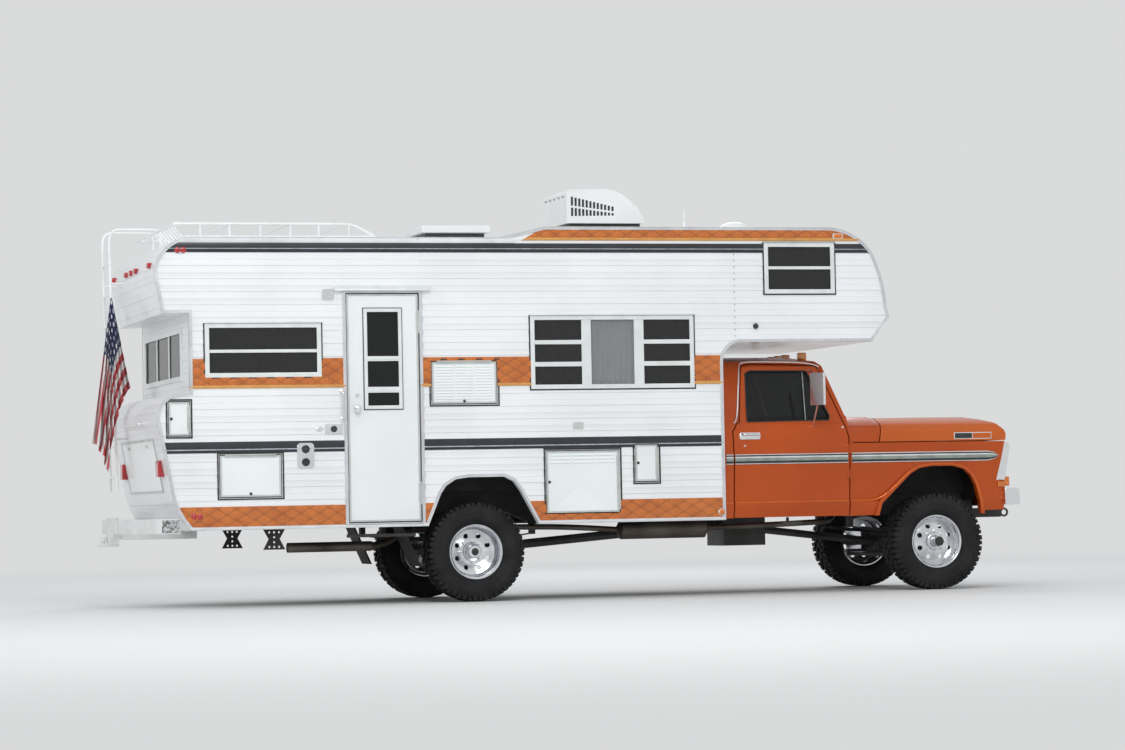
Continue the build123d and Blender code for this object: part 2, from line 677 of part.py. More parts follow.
# Camper lamps: side markers, cap lamps and tail lamps: x, y, z, half sizes
with BuildPart() as camper_lamps:
    for sign in (1, -1):
        for x, z, half_x, half_z in ((-2428, 2864, 55, 40), (3148, 2986, 45, 24),
                                     (-2326, 739, 55, 33), (2072, 692, 30, 30)):
            block(x - half_x, x + half_x, sign * camper_half, sign * (camper_half + lamp_stand),
                  z - half_z, z + half_z)
        y = sign * 900
        block(-2606, -2540, y - 60, y + 60, 1060, 1190)
    for y in (-900, -240, 0, 240, 900):
        block(-2664, -2600, y - 45, y + 45, 2730, 2775)
    add(camper_bulk, mode=Mode.SUBTRACT)
keep("camper_lamps", camper_lamps.part)

# Roof gear
ac_rear, ac_front, ac_half = 1000, 1693, 380
with BuildPart() as air_conditioner:
    side_prism([(ac_rear, raised_z), (ac_rear, 3405), (ac_rear + 22, 3434), (1349, 3441), (1440, 3424),
                (1499, 3392),
                (1624, 3290), (1674, 3207), (ac_front, raised_z)], -ac_half, ac_half)
keep("air_conditioner", air_conditioner.part)
with BuildPart() as roof_vents:
    block(-210, 300, -300, 300, roof_z, 3070)
    block(-246, 347, -330, 330, 3070, 3130)
    rod((2500, -200, raised_z), (2500, -200, raised_z + 60), 160, 16)
    rod((2050, -350, raised_z), (2050, -350, 3318), 9)
    rod((2050, -350, raised_z), (2050, -350, raised_z + 80), 40)
    add(camper_bulk, mode=Mode.SUBTRACT)
keep("roof_vents", roof_vents.part)
rack_z = 3088
rack_half = 950
rack_pieces = []
for sign in (1, -1):
    y = sign * rack_half
    with BuildPart() as rail:
        rod((-2471, y, rack_z), (-1002, y, rack_z), 13, 6)
    rack_pieces.append(rail.part)
    with BuildPart() as foot_rail:
        rod((-2360, y, roof_z + 13 + seat_gap), (-820, y, roof_z + 13 + seat_gap), 13, 6)
    rack_pieces.append(foot_rail.part)
    for foot_x, top_x in ((-2232, -2232), (-1994, -1994), (-1741, -1741), (-1494, -1494), (-1261, -1261),
                          (-1010, -1010),
                          (-805, -1010)):
        with BuildPart() as post:
            rod((foot_x, y, roof_z - 20), (top_x, y, rack_z), 9, 6)
            add(camper_bulk, mode=Mode.SUBTRACT)
        rack_pieces.append(post.part)
for x in (-2440, -1980, -1500, -1040):
    with BuildPart() as bow:
        rod((x, -rack_half, rack_z), (x, rack_half, rack_z), 11, 6)
    rack_pieces.append(bow.part)
keep_apart("luggage_rack", rack_pieces)

# Ladder on the rear wall, bent over at the top to reach the roof
ladder_y = 665
ladder_half = 185
ladder_x = -2745
ladder_top = 3060
stile_radius = 13
ladder_pieces = []
for sign in (1, -1):
    y = ladder_y + sign * ladder_half
    stile = [(ladder_x + 40, 960), (ladder_x, ladder_top), (ladder_x + 45, ladder_top + 75),
             (ladder_x + 115, ladder_top + 92), (recess_x + 20, ladder_top + 92),
             (recess_x + 60, ladder_top + 60),
             (recess_x + 60, roof_z - 10)]
    for (x0, z0), (x1, z1) in zip(stile, stile[1:]):
        with BuildPart() as stile_bar:
            rod((x0, y, z0), (x1, y, z1), stile_radius, 6)
            add(camper_bulk, mode=Mode.SUBTRACT)
        ladder_pieces.append(stile_bar.part)
    for x0, x1, z in ((ladder_x + 32, -2560, 1400), (ladder_x + 7, -2600, 2700)):
        with BuildPart() as stand_off:
            rod((x0, y, z), (x1, y, z), 9, 6)
            add(camper_bulk, mode=Mode.SUBTRACT)
        ladder_pieces.append(stand_off.part)
for step in range(8):
    z = 1078 + step * 255
    x = ladder_x + 40 - 40 * (z - 960) / (ladder_top - 960)
    with BuildPart() as rung:
        rod((x, ladder_y - ladder_half, z), (x, ladder_y + ladder_half, z), 11, 6)
    ladder_pieces.append(rung.part)
keep_apart("ladder", ladder_pieces)
flag_depth = 60
flag_y = ladder_y - ladder_half - stile_radius - seat_gap
with BuildPart() as flag:
    block(-2896, -2660, flag_y - flag_depth, flag_y, 1180, 2620)
keep("flag", flag.part)

# Rear bumper: a bent step plate on brackets, with the tow hitch below its middle
with BuildPart() as rear_bumper:
    with BuildSketch(Plane.XY.offset(604)):
        with BuildLine():
            Polyline((-2455, -1100), (-2610, -1100), (-2820, -620), (-2820, 620), (-2610, 1100),
                     (-2455, 1100), (-2455, 1080), (-2600, 1080), (-2800, 610), (-2800, -610),
                     (-2600, -1080), (-2455, -1080),
                     close=True)
        make_face()
    extrude(amount=118)
    for sign in (1, -1):
        y0, y1 = sorted((sign * 370, sign * 410))
        side_prism([(-2200, rail_bottom), (-2200, 560), (-2810, 560), (-2810, 650), (-2580, 650),
                    (-2480, 618),
                    (-2325, 618), (-2325, rail_bottom)], y0, y1)
    block(-2870, -2780, -45, 45, 520, 740)
    block(-2945, -2780, -40, 40, 505, 525)
    rod((-2905, 0, 520), (-2905, 0, 545), 14)
    rod((-2905, 0, 545), (-2905, 0, 585), 25, 12)
keep("rear_bumper", rear_bumper.part)

# Fittings below the camper: frame hangers, the folding entry step and the mud flaps
fitting_pieces = []
hanger_x = -1660
for sign in (1, -1):
    with BuildPart() as hanger:
        side_prism([(hanger_x - 90, camper_bottom), (hanger_x + 90, camper_bottom), (hanger_x + 45, 545),
                    (hanger_x + 90, 460), (hanger_x - 90, 460), (hanger_x - 45, 545)], sign * 900 - 6, sign * 900 + 6)
    with BuildPart() as mud_flap:
        y0, y1 = sorted((sign * 720, sign * 1050))
        side_prism([(-640, camper_bottom), (-625, camper_bottom), (-480, 300), (-495, 300)], y0, y1)
    fitting_pieces += [hanger.part, mud_flap.part]
# Steps on their arms: rear, front, near and far side, bottom, top
step_boxes = [(-1094, -526, -1070, -1040, 545, 570), (-1086, -1074, -1060, -1040, 570, camper_bottom),
              (-546, -534, -1060, -1040, 570, camper_bottom)]
for sign in (1, -1):
    step_boxes.append((2640, 2812, sign * 900, sign * 1030, 585, 600))
    step_boxes.append((2715, 2735, sign * 900, sign * 920, 600, cab_bottom))
for corners in step_boxes:
    with BuildPart() as step_piece:
        block(*corners)
    fitting_pieces.append(step_piece.part)
keep_apart("underbody_fittings", fitting_pieces)


# Cab: a section across the body run along it, trimmed to the side view, hollowed the same way
def cab_section(inset):
    """Half widths and heights of the cab's section, moved in by the wall's thickness."""
    low = cab_bottom if inset == 0 else cab_floor
    points = [(972, low), (998, 750), (986, 776), (cab_half, 1085), (cab_half - 2, 1175), (986, 1390),
              (952, 1432), (925, 1475), (815, 1905), (770, 1950), (400, 2000)]
    if inset:
        points = [(972, low), (cab_half, 1085), (cab_half - 2, 1175), (986, 1390), (952, 1432), (925, 1475),
                  (815, 1905), (770, 1940), (400, 1975)]
    right = [(y - inset, z - (inset if z > 1920 else 0)) for y, z in points]
    return right


def run_section(points, x0, x1, mode=Mode.ADD):
    """A closed section, mirrored about the centre plane, run from x0 to x1."""
    with BuildSketch(Plane.YZ.offset(x0)) as section:
        with BuildLine():
            Polyline(*points, *[(-y, z) for y, z in reversed(points)], close=True)
        make_face()
    extrude(section.sketch, amount=x1 - x0, mode=mode)


cab_profile = [(cab_rear, cab_bottom), (cab_firewall, cab_bottom), (cab_firewall, fender_top + hood_gap),
               (cowl_front, fender_top + hood_gap), (cowl_front + 45, 1478), (3252, 1482), (3090, 1915),
               (3040, 1955), (2891, 2004), (2400, 2008), (2230, 1975), (2180, 1900), (cab_rear, 1500)]
cab_core = [(cab_rear + cab_wall, cab_floor), (cab_firewall - cab_wall, cab_floor),
            (cab_firewall - cab_wall, 1330),
            (cowl_front - 40, 1330), (cowl_front - 20, 1440), (3225, 1440), (3050, 1880), (2891, 1960),
            (2400, 1962), (2260, 1930), (2225, 1890), (cab_rear + cab_wall, 1500)]
door_outline = [(2235, 640), (door_front, 640), (door_front, 1300), (3222, 1420), (3205, 1480),
                (3062, 1862), (3028, 1908), (2450, 1926), (2375, 1905), (2310, 1440), (2278, 1420),
                (2235, 1360)]
door_glass_outline = [(2375, 1440), (3098, 1448), (3114, 1480), (2952, 1858), (2928, 1868), (2450, 1872),
                      (2402, 1850)]


cowl_rear = 3262
hood_section = [(1003, fender_top + hood_gap), (990, 1340), (960, 1390), (925, 1412), (750, 1462),
                (300, hood_top)]


def cab_body():
    """The cab's outside, with a cowl that has the hood's section ahead of the windscreen."""
    with BuildPart() as body:
        run_section(cab_section(0), cab_rear, cowl_front + 100)
        side_prism(cab_profile, -past_sides, past_sides, mode=Mode.INTERSECT)
        for sign in (1, -1):
            over_cowl = [(sign * y, z) for y, z in hood_section] + [(sign * 300, 1600), (sign * 1100, 1600),
                                                                    (sign * 1100, fender_top + hood_gap)]
            with BuildSketch(Plane.YZ.offset(cowl_rear)) as shoulder:
                with BuildLine():
                    Polyline(*over_cowl, close=True)
                make_face()
            extrude(shoulder.sketch, amount=cowl_front - cowl_rear + 100, mode=Mode.SUBTRACT)
    return body.part


def cab_hollow():
    with BuildPart() as core:
        run_section(cab_section(cab_wall), cab_rear, cowl_front + 100)
        side_prism(cab_core, -past_sides, past_sides, mode=Mode.INTERSECT)
    return core.part


cab_outer = cab_body()
cab_inner = cab_hollow()
hood_hinge_x, hood_hinge_z = 3578, 1474
hood_hinge_y = 520
hood_barrel = 4.5


def hood_hinges(moving):
    """The hood's two hinges at the cowl: the barrels and leaves of one side of them."""
    x, z = hood_hinge_x, hood_hinge_z
    for sign in (1, -1):
        y = sign * hood_hinge_y
        if moving:
            block(x, x + 40, y - 30, y + 30, z - 12, z - 4)
            rod((x, y - 30, z), (x, y + 30, z), hood_barrel)
            bore((x, y - 31, z), (x, y + 31, z), pin_radius + seat_gap)
        else:
            for low, high in ((y - 50, y - 30 - seat_gap), (y + 30 + seat_gap, y + 50)):
                block(x - 40, x, low, high, z - 12, z - 4)
                rod((x, low, z), (x, high, z), hood_barrel)
            rod((x, y - 40, z), (x, y + 40, z), pin_radius)


with BuildPart() as cab_shell:
    add(cab_outer)
    add(cab_inner, mode=Mode.SUBTRACT)
    for sign in (1, -1):
        y0, y1 = sorted((sign * 700, sign * 1100))
        side_prism(door_outline, y0, y1, mode=Mode.SUBTRACT, grow=door_gap)
        y0, y1 = sorted((sign * 935, sign * 1100))
        cut(door_front + door_gap / 2, cab_firewall + 1, y0, y1, cab_bottom - 1, fender_top + hood_gap)
    cut(cab_rear - 1, cab_rear + 200, -620, 620, 1530, 1850)
    side_prism([(3140, 1530), (3420, 1530), (3260, 1890), (3020, 1890)], -720, 720, mode=Mode.SUBTRACT)
    cut(cab_rear - 1, cab_firewall + 1, -780, 780, cab_bottom - 1, rail_top)
    hood_hinges(False)
keep("cab_shell", cab_shell.part)

with BuildPart() as cab_glass:
    side_prism([(3150, 1530), (3158, 1530), (3032, 1890), (3024, 1890)], -720, 720)
    block(cab_rear + 15, cab_rear + 15 + pane, -620, 620, 1530, 1850)
keep("cab_glass", cab_glass.part)

# Cab doors: the skin and frame inside the door's outline, cut from the same shell
hinge_line_x = door_front + door_gap / 2
barrel_radius = door_gap / 2 - seat_gap
barrel_length = 60
door_leaf_reach = 28
door_leaf_depth = 22
door_hinge_z = (960, 1180)
step_depth = 20         # the door's outer lip, before its frame steps in
step_in = 12
mirror_x = 2924


def door_hinge(sign, moving):
    """The two hinges of a cab door: the barrels and leaves of one side of them."""
    y = sign * cab_half
    leaf_out = y - sign * 4
    leaf_in = leaf_out - sign * door_leaf_depth
    for z in door_hinge_z:
        if moving:
            block(hinge_line_x - door_leaf_reach, hinge_line_x, leaf_in, leaf_out, z, z + barrel_length)
            rod((hinge_line_x, y, z), (hinge_line_x, y, z + barrel_length), barrel_radius)
            bore((hinge_line_x, y, z - 1), (hinge_line_x, y, z + barrel_length + 1), pin_radius + seat_gap)
        else:
            for low, high in ((z - 16, z - seat_gap), (z + barrel_length + seat_gap, z + barrel_length + 16)):
                block(hinge_line_x, hinge_line_x + door_leaf_reach, leaf_in, leaf_out, low, high)
                rod((hinge_line_x, y, low), (hinge_line_x, y, high), barrel_radius)
            rod((hinge_line_x, y, z - 8), (hinge_line_x, y, z + barrel_length + 8), pin_radius)


for side, sign in (("left", 1), ("right", -1)):
    y0, y1 = sorted((sign * 700, sign * 1100))
    with BuildPart() as cab_door:
        side_prism(door_outline, y0, y1)
        add(cab_outer, mode=Mode.INTERSECT)
        add(cab_inner, mode=Mode.SUBTRACT)
        cut(2200, 3300, sign * 700, sign * (cab_half - 90), cab_bottom - 1, cab_floor + 2)
        side_prism(door_glass_outline, y0, y1, mode=Mode.SUBTRACT)
    with BuildPart() as door_step:
        side_prism(door_outline, y0, y1, grow=1)
        side_prism(door_outline, y0, y1, mode=Mode.SUBTRACT, grow=-step_in)
        run_section(cab_section(step_depth), cab_rear, cowl_front, mode=Mode.INTERSECT)
    with BuildPart() as hung_door:
        add(cab_door.part)
        add(door_step.part, mode=Mode.SUBTRACT)
        door_hinge(sign, True)
    keep(f"cab_door_{side}", hung_door.part)
    with BuildPart() as door_glass:
        side_prism(door_glass_outline, y0, y1)
        run_section([(986 - 18, 1400), (925 - 18, 1475), (815 - 18, 1905)], 2200, 3300, mode=Mode.INTERSECT)
        run_section([(986 - 26, 1400), (925 - 26, 1475), (815 - 26, 1905)], 2200, 3300, mode=Mode.SUBTRACT)
    keep(f"door_glass_{side}", door_glass.part)
    with BuildPart() as mirror:
        y = sign * 1180
        with BuildSketch(Plane.XY.offset(1568)) as mirror_plan:
            with BuildLine():
                Polyline((2878, sign * 1112), (2900, sign * 1105), (2966, sign * 1248), (2944, sign * 1255),
                         close=True)
            make_face()
        extrude(mirror_plan.sketch, amount=270)
        rod((mirror_x, y, 1600), (2946, sign * 960, 1371), 8, 6)
        rod((mirror_x, y, 1820), (2960, sign * 800, 1888), 8, 6)
        add(cab_outer, mode=Mode.SUBTRACT)
    keep(f"mirror_{side}", mirror.part)

# Front fenders: outer skins with the arch, the wheel housings and the inner aprons
fender_rear = door_front + door_gap
lip_width = 34
lip_stand = 8
fender_front = 4668
apron_front = 4580
bezel_foot_x, bezel_foot_z = 4587, 919     # where the headlamp bezel's slanted rear edge starts
# Arch in the fender: rear foot to front foot
fender_arch = [(3497, 600), (3539, 739), (3690, 883), (3800, 985), (3880, 1030), (3990, 1046), (4186, 1044),
               (4285, 1018), (4345, 965), (4390, 880), (4427, 741), (4434, 600)]
fender_profile = [(fender_rear, cab_bottom), (4657, 667), (4666, 856), (4660, 912), (bezel_foot_x, bezel_foot_z),
                  (fender_front, fender_top), (fender_rear, fender_top)]
with BuildPart() as fender_skins:
    run_section([(972, cab_bottom), (998, 750), (986, 776), (cab_half, 1085), (cab_half - 2, 1175),
                 (1004, fender_top)], fender_rear, fender_front)
    run_section([(940, cab_bottom - 1), (962, 750), (952, 776), (978, 1085), (976, 1175),
                 (970, fender_top + 1)],
                fender_rear - 1, fender_front + 1, mode=Mode.SUBTRACT)
    side_prism(fender_profile, -past_sides, past_sides, mode=Mode.INTERSECT)
    side_prism(fender_arch, -past_sides, past_sides, mode=Mode.SUBTRACT)
    for sign in (1, -1):
        door_hinge(sign, False)
    # The pressed lip round each arch
    for sign in (1, -1):
        y0, y1 = sorted((sign * (cab_half - 40), sign * (cab_half + lip_stand)))
        with BuildSketch(Plane.XZ.offset(-y0)) as lip:
            with BuildLine():
                Polyline(*fender_arch, close=True)
            make_face()
            offset(amount=lip_width, kind=Kind.INTERSECTION)
            with BuildLine():
                Polyline(*fender_arch, close=True)
            make_face(mode=Mode.SUBTRACT)
            with Locations((3900, cab_bottom - 250)):
                Rectangle(2000, 500, mode=Mode.SUBTRACT)
        extrude(lip.sketch, amount=-(y1 - y0))
# Inner aprons: rear, front, inner and outer side, bottom, top
apron_rear = fender_rear + 80
apron_boxes = [(cab_firewall + 20, cab_firewall + 30, -480, 480, rail_top, rail_top + 40)]
for sign in (1, -1):
    apron_boxes.append((apron_rear, apron_front, sign * 480, sign * 972, fender_top - 40, fender_top - 30))
    apron_boxes.append((apron_rear, apron_front, sign * 480, sign * 486, rail_top, fender_top - 40))
    apron_boxes.append((apron_rear, apron_rear + 10, sign * 486, sign * 950, 830, fender_top - 40))
fender_pieces = [fender_skins.part]
for corners in apron_boxes:
    with BuildPart() as apron:
        block(*corners)
    fender_pieces.append(apron.part)
keep_apart("front_fenders", fender_pieces)

# Hood: a clamshell that carries its own sides, hollow below
hood_core = [(978, fender_top), (966, 1330), (940, 1368), (915, 1388), (745, 1436), (300, hood_top - 26)]
hood_side = [(cowl_front + 8, fender_top), (cowl_front + 55, 1482), (4048, 1480), (4382, 1462), (4511, 1441),
             (4609, 1405), (4672, 1348), (hood_front, 1310), (hood_front - 10, fender_top)]
hood_inside = [(cowl_front - 40, fender_top - 1), (cowl_front - 40, 1500), (4048, 1500), (4382, 1436),
               (4500, 1414), (4590, 1381), (4648, 1332), (hood_front - 26, 1300), (hood_front - 36, fender_top - 1)]
with BuildPart() as hood_hollow:
    run_section(hood_core, cowl_front - 50, hood_front + 10)
    side_prism(hood_inside, -past_sides, past_sides, mode=Mode.INTERSECT)
with BuildPart() as hood:
    run_section(hood_section, cowl_front, hood_front + 10)
    side_prism(hood_side, -past_sides, past_sides, mode=Mode.INTERSECT)
    add(hood_hollow.part, mode=Mode.SUBTRACT)
    for sign in (1, -1):
        for y in (sign * hood_hinge_y - 41, sign * hood_hinge_y + 41):
            cut(hood_hinge_x - 12, hood_hinge_x + 6, y - 11, y + 11, hood_hinge_z - 14, hood_hinge_z + 12)
    hood_hinges(True)
keep("hood", hood.part)

# Grille: a bright frame that leans forward at its top, with bars between two round headlamps
grille_half, lamp_inner, lamp_outer = 1000, 640, 965
grille_low, grille_high = 955, 1212


def bezel_rear(z):
    """Where the frame's rear edge lies at a height, a seat's gap ahead of the fender."""
    slope = (fender_front - bezel_foot_x) / (fender_top - bezel_foot_z)
    return bezel_foot_x + seat_gap + (z - bezel_foot_z) * slope


bezel_outline = [(bezel_rear(922), 922), (4662, 916), (4719, 1200), (4719, 1215), (4700, 1240),
                 (bezel_rear(1243), 1243)]


def frame_bar(y0, y1, z0, z1):
    """A stretch of the frame between two heights."""
    with BuildPart() as bar:
        side_prism(bezel_outline, y0, y1)
        with Locations((fender_front, (y0 + y1) / 2, (z0 + z1) / 2)):
            Box(400, y1 - y0, z1 - z0, mode=Mode.INTERSECT)
    return bar.part


grille_pieces = [frame_bar(-grille_half, grille_half, 800, grille_low),
                 frame_bar(-grille_half, grille_half, grille_high, 1300)]
for sign in (1, -1):
    for y0, y1 in ((lamp_outer, grille_half), (lamp_inner - 20, lamp_inner)):
        y0, y1 = sorted((sign * y0, sign * y1))
        grille_pieces.append(frame_bar(y0, y1, grille_low, grille_high))
    with BuildPart() as lamp_plate:
        block(4640, 4652, sign * lamp_inner, sign * lamp_outer, grille_low, grille_high)
    grille_pieces.append(lamp_plate.part)
for row in range(5):
    z = 975 + row * 48
    with BuildPart() as bar:
        block(bezel_rear(z) + 14, bezel_rear(z) + 44, 20 - lamp_inner, lamp_inner - 20, z, z + 14)
    grille_pieces.append(bar.part)
keep_apart("grille", grille_pieces)
with BuildPart() as cab_lamps:
    for sign in (1, -1):
        rod((4652 + seat_gap, sign * 800, 1080), (4686, sign * 800, 1080), 92, 16)
        block(4600, 4655, sign * 985, sign * 1010, 860, 905)
    for y in (-600, -180, 0, 180, 600):
        block(2960, 3030, y - 30, y + 30, 1940, 2032)
    add(fender_skins.part, mode=Mode.SUBTRACT)
    add(cab_outer, mode=Mode.SUBTRACT)
keep("cab_lamps", cab_lamps.part)

# Front bumper: a full-width bar bowed in plan, on two irons, with tow hooks
with BuildPart() as bumper_bar:
    with BuildSketch(Plane.XY.offset(706)):
        with BuildLine():
            Polyline((4655, -1026), (4790, -1020), (4880, -700), (4900, 0), (4880, 700), (4790, 1020),
                     (4655, 1026),
                     (4655, 1006), (4770, 1002), (4855, 690), (4872, 0), (4855, -690), (4770, -1002),
                     (4655, -1006), close=True)
        make_face()
    extrude(amount=143)
bumper_pieces = [bumper_bar.part]
hook_x, hook_y, hook_z = 4890, rail_y + 6, 640
for sign in (1, -1):
    with BuildPart() as iron:
        block(rail_front, 4870, sign * 350, sign * 370, 730, 810)
    with BuildPart() as hook:
        block(rail_front - 100, hook_x - 30, sign * (hook_y - 6), sign * (hook_y + 6), hook_z - 40, hook_z + 40)
        rod((hook_x, sign * hook_y - 6, hook_z), (hook_x, sign * hook_y + 6, hook_z), 40, 12)
        bore((hook_x, sign * hook_y - 7, hook_z), (hook_x, sign * hook_y + 7, hook_z), 22)
    bumper_pieces += [iron.part, hook.part]
keep_apart("front_bumper", bumper_pieces)

# Cab inside: bench seat, dashboard and the steering wheel on its column
with BuildPart() as bench_seat:
    side_prism([(2300, cab_floor), (2820, cab_floor), (2840, 1130), (2450, 1110), (2360, 1560), (2250, 1560)],
               -680, 680)
keep("bench_seat", bench_seat.part)
with BuildPart() as dashboard:
    side_prism([(3210, 1180), (3284, 1180), (3284, 1430), (3120, 1425), (3080, 1380)], -880, 880)
    rod((3170, 370, 1290), (2990, 370, 1370), 26)
keep("dashboard", dashboard.part)
column_run = hypot(180, 80)
wheel_hub = (2990 - seat_gap * 180 / column_run, 370, 1370 + seat_gap * 80 / column_run)
with BuildPart() as steering_wheel:
    with BuildSketch(Plane(origin=wheel_hub, z_dir=(-180, 0, 80))):
        RegularPolygon(205, 12)
        RegularPolygon(186, 12, mode=Mode.SUBTRACT)
        Rectangle(372, 30)
        RegularPolygon(45, 8)
    extrude(amount=22)
keep("steering_wheel", steering_wheel.part)

# Steering knuckles and the tie rod behind the axle
arm_back = 190
tie_radius = 16
arm_low = axle_z - swivel_half - seat_gap - 30
tie_z = arm_low - seat_gap - tie_radius
for side, sign in (("left", 1), ("right", -1)):
    with BuildPart() as knuckle:
        y = sign * swivel_y
        post = sign * (swivel_y + swivel_radius + 8)
        post_out = sign * (swivel_y + swivel_radius + 36)
        block(front_axle_x - 45, front_axle_x + 45, post, post_out, arm_low, 2 * axle_z - arm_low)
        for low in (arm_low, axle_z + swivel_half + seat_gap):
            block(front_axle_x - 45, front_axle_x + 45, y - sign * 45, post_out, low, low + 30)
        rod((front_axle_x, post, axle_z), (front_axle_x, sign * front_hub_face, axle_z), 40)
        block(front_axle_x - arm_back - 25, front_axle_x - 40, y - 20, y + 20, arm_low, arm_low + 26)
    keep(f"knuckle_{side}", knuckle.part)
with BuildPart() as tie_rod:
    rod((front_axle_x - arm_back, -swivel_y - 30, tie_z),
        (front_axle_x - arm_back, swivel_y + 30, tie_z), tie_radius)
keep("tie_rod", tie_rod.part)

# The finished pieces are written about the middle of the vehicle's length
rear_reach = -2945
front_reach = 4930
middle_x = (rear_reach + front_reach) / 2
for name, piece in nodes.items():
    piece = piece.moved(Location((-middle_x, 0, 0)))
    piece.label = name
    export_step(piece, f"parts/{name}.step")
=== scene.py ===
import bisect
import math

import bmesh
import bpy
from mathutils import Matrix, Vector


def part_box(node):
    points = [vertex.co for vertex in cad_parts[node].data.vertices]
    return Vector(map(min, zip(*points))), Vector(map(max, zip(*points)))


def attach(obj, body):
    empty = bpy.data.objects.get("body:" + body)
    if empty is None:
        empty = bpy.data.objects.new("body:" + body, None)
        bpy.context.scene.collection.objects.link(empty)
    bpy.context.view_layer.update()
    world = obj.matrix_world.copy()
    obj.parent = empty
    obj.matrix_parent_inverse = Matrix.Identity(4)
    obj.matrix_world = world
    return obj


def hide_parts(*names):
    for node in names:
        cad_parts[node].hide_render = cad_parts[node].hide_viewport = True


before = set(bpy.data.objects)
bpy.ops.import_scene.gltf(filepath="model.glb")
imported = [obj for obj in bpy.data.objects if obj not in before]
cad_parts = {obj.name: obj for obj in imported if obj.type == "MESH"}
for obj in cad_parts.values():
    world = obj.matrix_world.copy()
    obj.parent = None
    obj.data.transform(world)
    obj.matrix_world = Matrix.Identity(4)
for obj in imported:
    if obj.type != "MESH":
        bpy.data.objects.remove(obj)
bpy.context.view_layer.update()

# Viewpoint
# The photograph was taken from the right side with a long lens, from behind the vehicle's middle and low
# down, with the frame tipped a little.
eye = Vector((-8.3665, -29.153, 0.762))
heading, pitch, roll = (math.radians(angle) for angle in (16.109, 2.116, -1.1126))
ahead = Vector((math.sin(heading) * math.cos(pitch), math.cos(heading) * math.cos(pitch), math.sin(pitch)))
level_right = Vector((math.cos(heading), -math.sin(heading), 0.0))
level_up = level_right.cross(ahead)
right = math.cos(roll) * level_right + math.sin(roll) * level_up
up = math.cos(roll) * level_up - math.sin(roll) * level_right
camera_data = bpy.data.cameras.new("camera")
camera_data.sensor_width = 36.0
camera_data.lens = 113.94
camera_data.clip_end = 200.0
camera = bpy.data.objects.new("camera", camera_data)
bpy.context.scene.collection.objects.link(camera)
camera.matrix_world = Matrix.Translation(eye) @ Matrix((right, up, -ahead)).transposed().to_4x4()
bpy.context.scene.camera = camera
bpy.context.scene.view_settings.view_transform = "Standard"

# Studio
# A plain pale floor that fades into a pale backdrop some way off, one broad lamp high on the camera's side and
# two weaker ones behind.
floor_mesh = bpy.data.meshes.new("floor")
reach = 120.0
floor_corners = [(-reach, -reach, 0), (reach, -reach, 0), (reach, reach, 0), (-reach, reach, 0)]
floor_mesh.from_pydata(floor_corners, [], [(0, 1, 2, 3)])
floor = bpy.data.objects.new("floor", floor_mesh)
bpy.context.scene.collection.objects.link(floor)
backdrop_tone = (0.70, 0.705, 0.71, 1)
floor_paint = bpy.data.materials.new("pale floor")
floor_paint.use_nodes = True
floor_nodes, floor_links = floor_paint.node_tree.nodes, floor_paint.node_tree.links
floor_nodes["Principled BSDF"].inputs["Base Color"].default_value = (0.78, 0.78, 0.77, 1)
floor_nodes["Principled BSDF"].inputs["Roughness"].default_value = 0.85
far_floor = floor_nodes.new("ShaderNodeEmission")
far_floor.inputs["Color"].default_value = backdrop_tone
floor_place = floor_nodes.new("ShaderNodeTexCoord")
floor_distance = floor_nodes.new("ShaderNodeVectorMath")
floor_distance.operation = "LENGTH"
floor_fade = floor_nodes.new("ShaderNodeMapRange")
floor_fade.interpolation_type = "SMOOTHERSTEP"
floor_fade.inputs["From Min"].default_value = 4.5
floor_fade.inputs["From Max"].default_value = 24.0
floor_rays = floor_nodes.new("ShaderNodeLightPath")
floor_seen = floor_nodes.new("ShaderNodeMath")
floor_seen.operation = "MULTIPLY"
floor_shown = floor_nodes.new("ShaderNodeMath")
floor_shown.operation = "MAXIMUM"
floor_choice = floor_nodes.new("ShaderNodeMixShader")
floor_links.new(floor_place.outputs["Object"], floor_distance.inputs[0])
floor_links.new(floor_distance.outputs["Value"], floor_fade.inputs["Value"])
floor_links.new(floor_fade.outputs["Result"], floor_seen.inputs[0])
floor_links.new(floor_rays.outputs["Is Camera Ray"], floor_shown.inputs[0])
floor_links.new(floor_rays.outputs["Is Glossy Ray"], floor_shown.inputs[1])
floor_links.new(floor_shown.outputs[0], floor_seen.inputs[1])
floor_links.new(floor_seen.outputs[0], floor_choice.inputs[0])
floor_links.new(floor_nodes["Principled BSDF"].outputs[0], floor_choice.inputs[1])
floor_links.new(far_floor.outputs[0], floor_choice.inputs[2])
floor_links.new(floor_choice.outputs[0], floor_nodes["Material Output"].inputs["Surface"])
floor.data.materials.append(floor_paint)

sky = bpy.data.worlds.new("pale sky")
bpy.context.scene.world = sky
sky.use_nodes = True
sky_nodes, sky_links = sky.node_tree.nodes, sky.node_tree.links
sky_light = sky_nodes["Background"]
sky_light.inputs["Color"].default_value = (0.92, 0.96, 1.0, 1)
sky_light.inputs["Strength"].default_value = 0.70
sky_seen = sky_nodes.new("ShaderNodeBackground")
sky_seen.inputs["Color"].default_value = backdrop_tone
sky_seen.inputs["Strength"].default_value = 1.0
sky_rays = sky_nodes.new("ShaderNodeLightPath")
sky_choice = sky_nodes.new("ShaderNodeMixShader")
seen_or_glass = sky_nodes.new("ShaderNodeMath")
seen_or_glass.operation = "MAXIMUM"
seen_or_gloss = sky_nodes.new("ShaderNodeMath")
seen_or_gloss.operation = "MAXIMUM"
sky_links.new(sky_rays.outputs["Is Camera Ray"], seen_or_glass.inputs[0])
sky_links.new(sky_rays.outputs["Is Transmission Ray"], seen_or_glass.inputs[1])
sky_links.new(seen_or_glass.outputs[0], seen_or_gloss.inputs[0])
